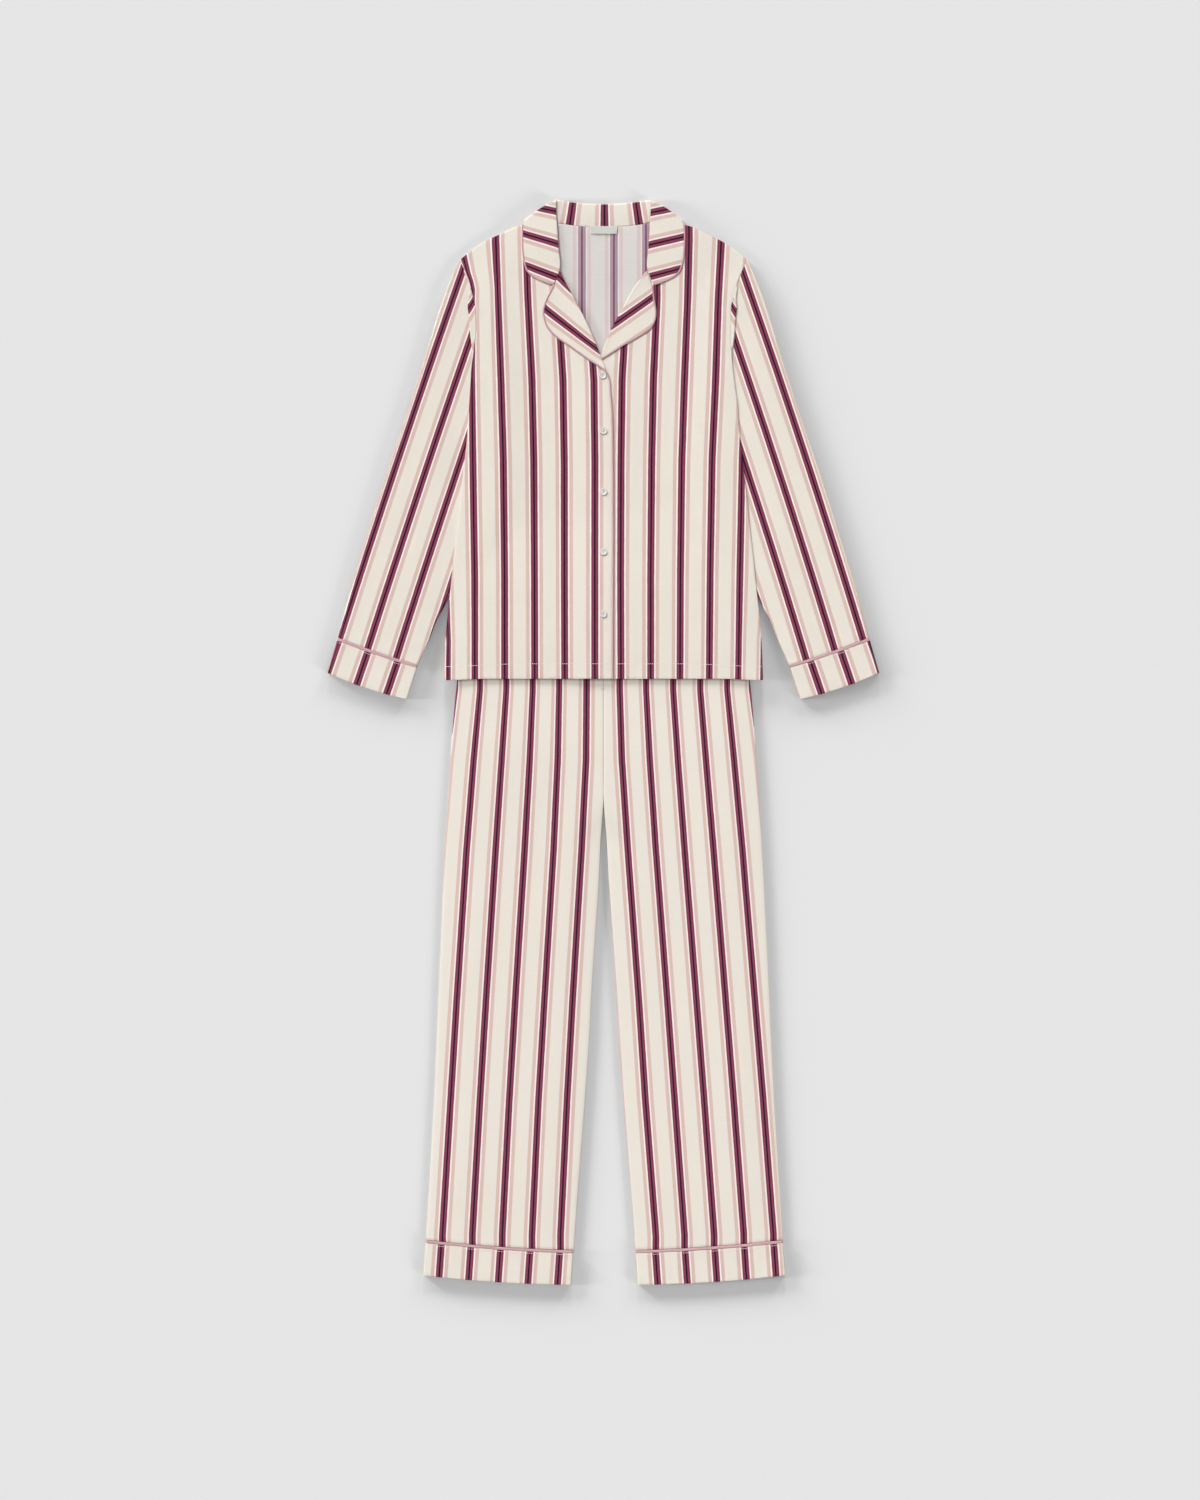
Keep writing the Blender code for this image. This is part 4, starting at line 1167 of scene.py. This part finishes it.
# the small fold of sleeve cloth that shows beside each front at the armpit
underarm = {
    "outer": (
        (188.4, 640), (188.6, 622), (189.9, 609), (188.4, 597), (186.9, 577), (184.9, 559), (183.7, 549),
    ),
    "inner": (
        (186.9, 640), (182.8, 624), (179.7, 612), (178.5, 591), (178.7, 570), (181.4, 552), (182.1, 549),
    ),
    "roll": 0.7, "aboveBack": 0.15, "thin": 0.9, "grid": (8, 44),
    "leftDrawn": -3.2, "drawnAlong": (642, 618),
    "stripes": {
        -1: (
            (-1, -154.2, 581.3, -145.2, 595.7), (0, -189.8, 604.3, -180.8, 618.7),
            (1, -216.1, 620.7, -207.1, 635.1),
        ),
        1: (
            (-1, 142.6, 590.8, 148.9, 580.3), (0, 178.6, 612.4, 184.9, 601.9),
            (1, 202.4, 626.7, 208.7, 616.2),
        ),
    },
}

cuff = {
    "seam": ((372.3, 144.0), (260.3, 105.7)), "end": ((386.0, 96.6), (275.0, 59.5)), "sag": (1.3, 3.2),
    "thick": 4.4, "edgeGap": 0.1, "stripes": {-1: (0.39, 0.37), 1: (0.37, 0.375)},
    "pieces": ("cuff", "cuffPiping"), "nodes": ("cuff_", "cuff_piping_"), "columns": 36, "rows": 16,
}
hemBand = {
    "seam": ((249.6, -699.0), (43.5, -713.3)), "end": ((253.4, -746.4), (46.6, -759.6)), "sag": (2.2, 2.9),
    "thick": 4.2, "edgeGap": 0.1, "stripes": {-1: (0.513, 0.2008), 1: (0.457, 0.2008)},
    "pieces": ("hemBand", "hemPiping"), "nodes": ("hem_band_", "hem_piping_"), "columns": 52, "rows": 16,
}
# where the number is nought, its slope along the sleeve, and how far the stripes bow out, about y and
# over a length
sleeveStripes = {
    "step": 43.96, -1: (375.2, 0.333, -1.68, 380.8, 231.0), 1: (370.3, 0.33, -3.22, 436.8, 266.0),
}


def sleeveNumber(side):
    at, slope, bow, middle, reach = sleeveStripes[side]

    def numberAt(x, y):
        return (at + bow * ((y - middle) / reach) ** 2 - np.abs(x) - slope * y) / sleeveStripes["step"]

    return numberAt


def sagging(start, end, sag, count):
    # a line between two points that hangs towards the hem in the middle
    shares = np.linspace(0, 1, count + 1)[:, None]
    way = end - start
    down = unit(np.array((-way[1], way[0]))) * -math.copysign(1, way[0])
    return start + way * shares + down * sag * 4 * shares * (1 - shares)


def leant(line):
    # the legs lean a little towards the wearer's left as they go down
    most, low, high = trousers["lean"]
    return line + np.column_stack((np.interp(line[:, 1], (low, high), (most, 0)), 0 * line[:, 1]))


def bandPlan(band, side, start, stop, columns, rows):
    # plan of a cuff or hem band between two distances from its seam; it goes to the end without the second
    seam, end = (np.array(band[line], float) * (side, 1) for line in ("seam", "end"))
    seam, end = (leant(line) if band is hemBand else line for line in (seam, end))
    length = np.linalg.norm(end - seam, axis=1).mean()
    shares = np.linspace(start, length if stop is None else stop, rows + 1) / length
    low, high = band["sag"]
    lines = [sagging(*(seam + (end - seam) * k), low + (high - low) * k, columns) for k in shares]
    return np.array(lines)


def bandNumber(seam, side, at, step):
    start, stop = np.array(seam) * (side, 1)
    way = (stop - start) / np.linalg.norm(stop - start) ** 2

    def numberAt(x, y):
        return (((x - start[0]) * way[0] + (y - start[1]) * way[1]) - at) / step

    return numberAt


def makeRing(name, plan, thick, number, materials=rightBoth, wall=layers["doubled"]):
    return makeShell(name, *flatTube(plan, thick, wall, number), materials, wall, closed=True)


def makePipedSeam(name, band, side, number):
    # a ring whose middle stands proud
    half, rows = piping["ring"] / 2, piping["grid"][1]
    plan = bandPlan(band, side, -half, half, *piping["grid"])
    height = band["thick"] + piping["proud"] * np.sin(np.pi * np.linspace(0, 1, rows + 1))[:, None]
    return makeRing(name, plan, lambda x, y: height + 0 * x, number, (pipingCotton,) * 2)


def makeBand(name, band, side, number):
    plan = bandPlan(band, side, piping["ring"] / 2 + band["edgeGap"], None, band["columns"], band["rows"])
    return makeRing(name, plan, lambda x, y: band["thick"] + 0 * x, number)


def addBand(band, side, word):
    # a cuff or hem band, and the piping at its seam
    number = bandNumber(band["seam"], side, *band["stripes"][side])
    for make, piece, node, slot in zip(
        (makeBand, makePipedSeam), band["pieces"], band["nodes"], ("striped_cloth", "piping")
    ):
        dress(make(piece + word, band, side, number), node + word.lower(), slot=slot)


def makeTuck(name, side):
    inner, outer = sideFrom(underarm["inner"], side), smoothLine(underarm["outer"], side)
    if side > 0:
        for line in (inner, outer):
            line[:, 0] += underarm["leftDrawn"] * ramp(line[:, 1], *underarm["drawnAlong"])
    top, bottom = (np.array((outer[k], inner[k])) for k in (0, -1))
    plan = patch(top, bottom, outer, inner, *underarm["grid"])
    points = raised(plan, lambda x, y: backLevel(x, y) + layers["wall"] + underarm["aboveBack"])
    points = rolledEdge(points, underarm["roll"])
    weave = weaveOf(points, linesNumber(underarm["stripes"][side]))
    return makeShell(name, points, weave, wall=layers["wall"] * underarm["thin"])


for side, word in sides:
    ends = np.array((sleeve["outer"][-1], sleeve["inner"][-1])) * (side, 1)
    seam = sagging(*ends, cuff["sag"][0], cuff["columns"])
    cap, outer, inner = (smoothLine(sleeve[line], side) for line in ("cap", "outer", "inner"))
    plan = patch(cap, seam, outer, inner, *sleeve["grid"])
    made = makeRing("sleeve" + word, plan, sleeveThick, sleeveNumber(side), rightOut, layers["wall"])
    dress(made, "sleeve_" + word.lower())
    dress(makeTuck("underarm" + word, side))
    addBand(cuff, side, word)
print("sleeves made")


# Trousers

waist = {"top": 198.8, "seam": 161.0, "half": 185.5, "seamHalf": 187.6, "thick": 3.6, "grid": (60, 12)}
trouserNumber = {side: stripeNumber("trousers", side) for side in (-1, 1)}


def makeLeg(name, side, level, grid, materials):
    top = np.array((trousers["centre"][0], trousers["side"][0]), float) * (side, 1)
    inner = leant(smoothLine(trousers["centre"] + trousers["insideLeg"], side))
    outer = leant(smoothLine(trousers["side"], side))
    bottom = sagging(inner[-1], outer[-1], hemBand["sag"][0], grid[0])
    plan = patch(top, bottom, inner, outer, *grid)
    return makeShell(name, raised(plan, level), weaveOf(plan, trouserNumber[side]), materials)


for side, word in sides:
    back = makeLeg("legBack" + word, side, backLegLevel, trousers["backGrid"], wrongOut)
    dress(back, "leg_back_" + word.lower())
    front = makeLeg("legFront" + word, side, frontLegLevel, trousers["frontGrid"], rightOut)
    dress(front, "leg_front_" + word.lower())
    addBand(hemBand, side, word)

columns, rows = (count + 1 for count in waist["grid"])
waistRows = np.linspace((waist["half"], waist["top"]), (waist["seamHalf"], waist["seam"]), rows)
waistPlan = np.array([[(half * k, y) for k in np.linspace(-1, 1, columns)] for half, y in waistRows])
waistband = makeRing(
    "trouserWaistband", waistPlan, lambda x, y: waist["thick"] + 0 * x, lambda x, y: x / stripes["repeat"]
)
dress(waistband, "waistband")
print("trousers made")


# Buttons and label

button = {
    "places": ((-1.2, 513.2), (0, 435.4), (0, 350), (0, 266), (0, 179.2)), "radius": 5.1, "rest": 0.05,
    "profile": (
        (0, 1.15), (2.7, 1.15), (3.2, 1.25), (3.6, 1.6), (3.95, 1.92), (4.35, 2.0), (4.75, 1.88),
        (5.02, 1.6), (5.1, 1.25), (5.0, 0.85), (4.6, 0.35), (4.1, 0.05), (3.6, 0), (0, 0),
    ),
    "hole": 0.55, "pitch": 1.25, "thread": 0.2, "strands": (-0.22, 0, 0.22), "threadRise": 1.25,
    # a strand over the button, as places along it and heights
    "strand": ((-1.35, -0.5), (-1.1, 0), (0, 0.08), (1.1, 0), (1.35, -0.5)),
}


def buttonMesh():
    profile = bpy.data.meshes.new("buttonTurned")
    points = [(across * mm, 0, height * mm) for across, height in button["profile"]]
    profile.from_pydata(points, [(k, k + 1) for k in range(len(points) - 1)], [])
    blank = asObject("buttonBlank", profile, [buttonPearl])
    screw = blank.modifiers.new("turn", "SCREW")
    screw.steps = screw.render_steps = 48
    screw.use_merge_vertices = True
    screw.merge_threshold = 0.00001
    holes = bpy.data.meshes.new("threadHoles")
    bm = bmesh.new()
    hole, pitch = button["hole"] * mm, button["pitch"] * mm
    for across, up in itertools.product((-pitch, pitch), repeat=2):
        drill = bmesh.ops.create_cone(
            bm, cap_ends=True, segments=20, depth=6 * mm, radius1=hole, radius2=hole
        )
        bmesh.ops.translate(bm, vec=(across, up, 0), verts=drill["verts"])
    bm.to_mesh(holes)
    bm.free()
    drill = bpy.data.objects.new("threadHoles", holes)
    cut = blank.modifiers.new("holes", "BOOLEAN")
    cut.object, cut.solver = drill, "EXACT"
    bpy.context.view_layer.update()
    mesh = bpy.data.meshes.new_from_object(blank.evaluated_get(bpy.context.evaluated_depsgraph_get()))
    mesh.shade_smooth()
    mesh.set_sharp_from_angle(angle=math.radians(35))
    for spare in (blank, drill):
        bpy.data.objects.remove(spare)
    return mesh


turned, strands = buttonMesh(), []
for number, (x, y) in enumerate(button["places"], 1):
    behind, here, ahead = (
        float(upperFrontLevel(np.array(0.0), np.array(y + step * button["radius"]))) for step in (-1, 0, 1)
    )
    height = max(here, (ahead + behind) / 2) + layers["wall"] / 2 + layers["gap"] + button["rest"]
    made = bpy.data.objects.new(f"button{number}", turned.copy())
    bpy.context.scene.collection.objects.link(made)
    made.location = (x * mm, y * mm, height * mm)
    made.rotation_euler.x = math.atan2(ahead - behind, 2 * button["radius"])
    dress(made, f"button_{number}", slot="button")
    top = height + button["threadRise"]
    for across, shift in itertools.product((-1, 1), button["strands"]):
        at = x + across * button["pitch"] + shift
        strand = np.array([(at, y + onward, top + rise) for onward, rise in button["strand"]])
        strands.append(along(strand, np.linspace(0, 1, 9)))


def makeThreads(name, paths, radius, material):
    bm = bmesh.new()
    for path in paths:
        part = makeTrim(f"{name}Part", path, radius, material, 6)
        bm.from_mesh(part.data)
        bpy.data.objects.remove(part)
    mesh = bpy.data.meshes.new(name)
    bm.to_mesh(mesh)
    bm.free()
    mesh.shade_smooth()
    return asObject(name, mesh, [material])


dress(makeThreads("buttonThread", strands, button["thread"], sewingThread))

label = {
    "size": (38.0, 11.0), "wall": 0.6, "middle": (0.4, 716.3), "height": 3.35, "bow": 0.4, "flatAt": 0.6,
    "grid": (40, 14),
}
columns, rows = (count + 1 for count in label["grid"])
across, up = np.meshgrid(np.linspace(-0.5, 0.5, columns), np.linspace(0.5, -0.5, rows))
bow = label["bow"] * np.sin(np.pi * (across + 0.5)) * (label["flatAt"] - up)
labelPlan = np.dstack((across, up)) * label["size"] + label["middle"]
labelPoints = np.dstack((labelPlan, label["height"] + bow))
made = makeShell("neckLabel", labelPoints, labelPlan, (labelWoven,) * 2, label["wall"])
dress(made, "neck_label", slot="label")
print("buttons and label made")


# Stitching

stitch = {
    "pitch": 3.0, "length": 2.6, "radius": 0.5, "sink": 0.1, "hemDroop": 4.0, "droopAcross": (110, 230),
    "hemEnds": (10.9, 15.5), "shortOfSide": 1.0, "inBand": 4.2, "under": 0.42, "bandPoints": 40,
}


def onCloth(line, level, above=layers["wall"] / 2 - stitch["sink"]):
    return np.column_stack((line, level(*line.T) + above))


def straight(start, end):
    return np.linspace(start, end, 60)


def hemStitchLine(start, end):
    line = straight((start, layers["hemStitch"]), (end, layers["hemStitch"]))
    line[:, 1] -= stitch["hemDroop"] * ramp(np.abs(line[:, 0]), *stitch["droopAcross"])
    return line


hemSide = float(acrossAt(shirt["side"], layers["hemStitch"])) - stitch["shortOfSide"]
upperEnd, lowerEnd = stitch["hemEnds"]
hemRows = [
    onCloth(hemStitchLine(-hemSide, upperEnd), upperFrontLevel),
    onCloth(hemStitchLine(lowerEnd, hemSide), lowerFrontLevel),
    onCloth(hemStitchLine(hemSide, -hemSide), backLevel, stitch["sink"] - layers["wall"] / 2),
]
dress(makeStitches("shirtHemStitching", hemRows, stitch, sewingThread))

# whipped buttonholes, the tack at the foot of the trouser fly, and the label's ends
whip = {"pitch": 0.5, "length": 0.7, "radius": 0.32, "reach": 6.6, "apart": 0.75}
tack = {
    "pitch": 1.0, "length": 0.9, "radius": 0.3, "across": (-3.3, 1.5), "rows": (73.7, 74.2, 74.7),
    "above": layers["wall"] / 2 + 0.05,
}
whipRows = [
    onCloth(straight((x, y - whip["reach"]), (x, y + whip["reach"])), upperFrontLevel)
    for _, y in button["places"][1:] for x in (-whip["apart"], whip["apart"])
]
dress(makeStitches("buttonholeStitching", whipRows, whip, sewingThread))
tackRows = [
    onCloth(straight(*((x, y) for x in tack["across"])), frontLegLevel, tack["above"]) for y in tack["rows"]
]
dress(makeStitches("flyTack", tackRows, tack, pipingCotton), slot="piping")
labelRows = [labelPoints[1:-1, k] + (0, 0, label["wall"] / 2) for k in (1, -2)]
dress(makeStitches("labelStitching", labelRows, tack, sewingThread), slot="label")


for name, band in (("cuffStitching", cuff), ("legHemStitching", hemBand)):
    # over the top of each band, and back under it
    at = stitch["inBand"]
    lines = [bandPlan(band, side, at, at + 1, stitch["bandPoints"], 1)[0][1:-1] for side in (-1, 1)]
    heights = (band["thick"] - stitch["sink"], stitch["under"])
    rows = [np.column_stack((line, 0 * line[:, 0] + height)) for line in lines for height in heights]
    dress(makeStitches(name, rows, stitch, sewingThread))
print("stitching made")


# Cloth as cut: how each panel lies, what it lies on, and the trims sewn to it

fronts, pipings = ("shirtFrontRight", "shirtFrontLeft"), ("frontPipingRight", "frontPipingLeft")
lying = [
    ("shirtBack", "laid", ("collarBack", "sleeveRight", "sleeveLeft", "trouserWaistband"), ("neckLabel",)),
    (
        "shirtFrontRight", "laid", ("shirtBack", "shirtFrontLeft"),
        ("shirtHemStitching", "buttonThread", "buttonholeStitching"),
    ),
    ("shirtFrontLeft", "laid", ("shirtBack",), ()),
    ("lapelRight", "folded", fronts[:1], pipings[:1]),
    ("lapelLeft", "folded", fronts[1:], pipings[1:]),
    ("collarBack", "folded", (), ()),
    ("collarLeafRight", "folded", fronts[:1], ("collarPipingRight",)),
    ("collarLeafLeft", "folded", fronts[1:], ("collarPipingLeft",)),
    ("trouserWaistband", "folded", (), ()),
    ("neckLabel", "laid", ("shirtBack",), ()),
]
for word in ("Right", "Left"):
    lying += [
        ("sleeve" + word, "folded", (), ()), ("underarm" + word, "folded", ("sleeve" + word,), ()),
        ("cuff" + word, "folded", (), ("cuffPiping" + word,)),
        ("legBack" + word, "laid", (), ()), ("legFront" + word, "laid", ("legBack" + word,), ()),
        ("hemBand" + word, "folded", (), ("hemPiping" + word,)),
    ]


# Floor, light and camera

studio = {
    "floor": 12.0, "sky": 0.38, "shown": (0.80, 0.80, 0.80),
    # where each light comes from (degrees round from +x, and up), how wide it is, and its share
    "floorLights": (
        (140, 5.2, 8, 0.15), (180, 5.5, 8, 0.11), (120, 5.4, 8, 0.08), (90, 7.0, 8, 0.09),
        (60, 6.5, 8, 0.09), (330, 9.0, 8, 0.10),
    ),
    "clothLights": ((140, 46, 32, 0.28),),
    "shirtLights": ((115, 42, 22, 0.325),),
    "insideLights": ((110, 18, 12, 0.17), (165, 18, 12, 0.15)),
    "trouserLights": ((100, 19, 18, 0.34),),
}


def addLights(name, rows, pieces):
    # suns for these pieces alone; their shares and the sky's add up to about one
    group = bpy.data.collections.new(name)
    for piece in pieces:
        group.objects.link(piece)
    for number, (around, up, wide, share) in enumerate(rows, 1):
        lamp = bpy.data.lights.new(f"{name}{number}", "SUN")
        lamp.angle = math.radians(wide)
        lamp.energy = share * math.pi / math.sin(math.radians(up))
        sun = bpy.data.objects.new(lamp.name, lamp)
        turn, rise = math.radians(around), math.radians(up)
        way = Vector((math.cos(turn) * math.cos(rise), math.sin(turn) * math.cos(rise), math.sin(rise)))
        sun.rotation_euler = way.to_track_quat("Z", "Y").to_euler()
        bpy.context.scene.collection.objects.link(sun)
        sun.light_linking.receiver_collection = group


pieces = [obj for obj in bpy.context.scene.objects if obj.type == "MESH"]
floorMesh = bpy.data.meshes.new("floor")
half = studio["floor"] / 2
floorSpots = [(x * half, y * half, 0) for x, y in ((-1, -1), (1, -1), (1, 1), (-1, 1))]
floorMesh.from_pydata(floorSpots, [], [(0, 1, 2, 3)])
floor = asObject("floor", floorMesh, [floorMaterial()])
legFronts = [piece for piece in pieces if piece.name.startswith("legFront")]
insides = [piece for piece in pieces if piece.name in ("collarBack", "shirtBack", "neckLabel")]
outsides = [piece for piece in pieces if piece not in legFronts + insides]
for name, lit in (
    ("floorLight", [floor]), ("clothLight", pieces), ("shirtLight", outsides), ("insideLight", insides),
    ("trouserLight", legFronts),
):
    addLights(name, studio[name + "s"], lit)


def lightTheSky():
    world = bpy.data.worlds.new("studio")
    bpy.context.scene.world = world
    world.use_nodes = True
    tree = world.node_tree
    tree.nodes.clear()
    lit, seen = (tree.nodes.new("ShaderNodeBackground") for _ in range(2))
    lit.inputs["Strength"].default_value = studio["sky"]
    lit.inputs["Color"].default_value = (1, 1, 1, 1)
    seen.inputs["Color"].default_value = (*studio["shown"], 1)
    path = tree.nodes.new("ShaderNodeLightPath")
    pick = tree.nodes.new("ShaderNodeMixShader")
    tree.links.new(path.outputs["Is Camera Ray"], pick.inputs[0])
    tree.links.new(lit.outputs[0], pick.inputs[1])
    tree.links.new(seen.outputs[0], pick.inputs[2])
    out = tree.nodes.new("ShaderNodeOutputWorld")
    tree.links.new(pick.outputs[0], out.inputs[0])


lightTheSky()

view = {"middle": (-4.83, -11.2), "height": 2100.0, "lens": 100.0, "sensor": 36.0}
camera = bpy.data.objects.new("camera", bpy.data.cameras.new("camera"))
camera.data.lens = view["lens"]
camera.data.sensor_width = camera.data.sensor_height = view["sensor"]
distance = view["height"] * view["lens"] / view["sensor"]
camera.location = (view["middle"][0] * mm, view["middle"][1] * mm, distance * mm)
camera.data.clip_end = 100
bpy.context.scene.collection.objects.link(camera)
bpy.context.scene.camera = camera
bpy.context.scene.view_settings.view_transform = "Standard"
print("studio ready")
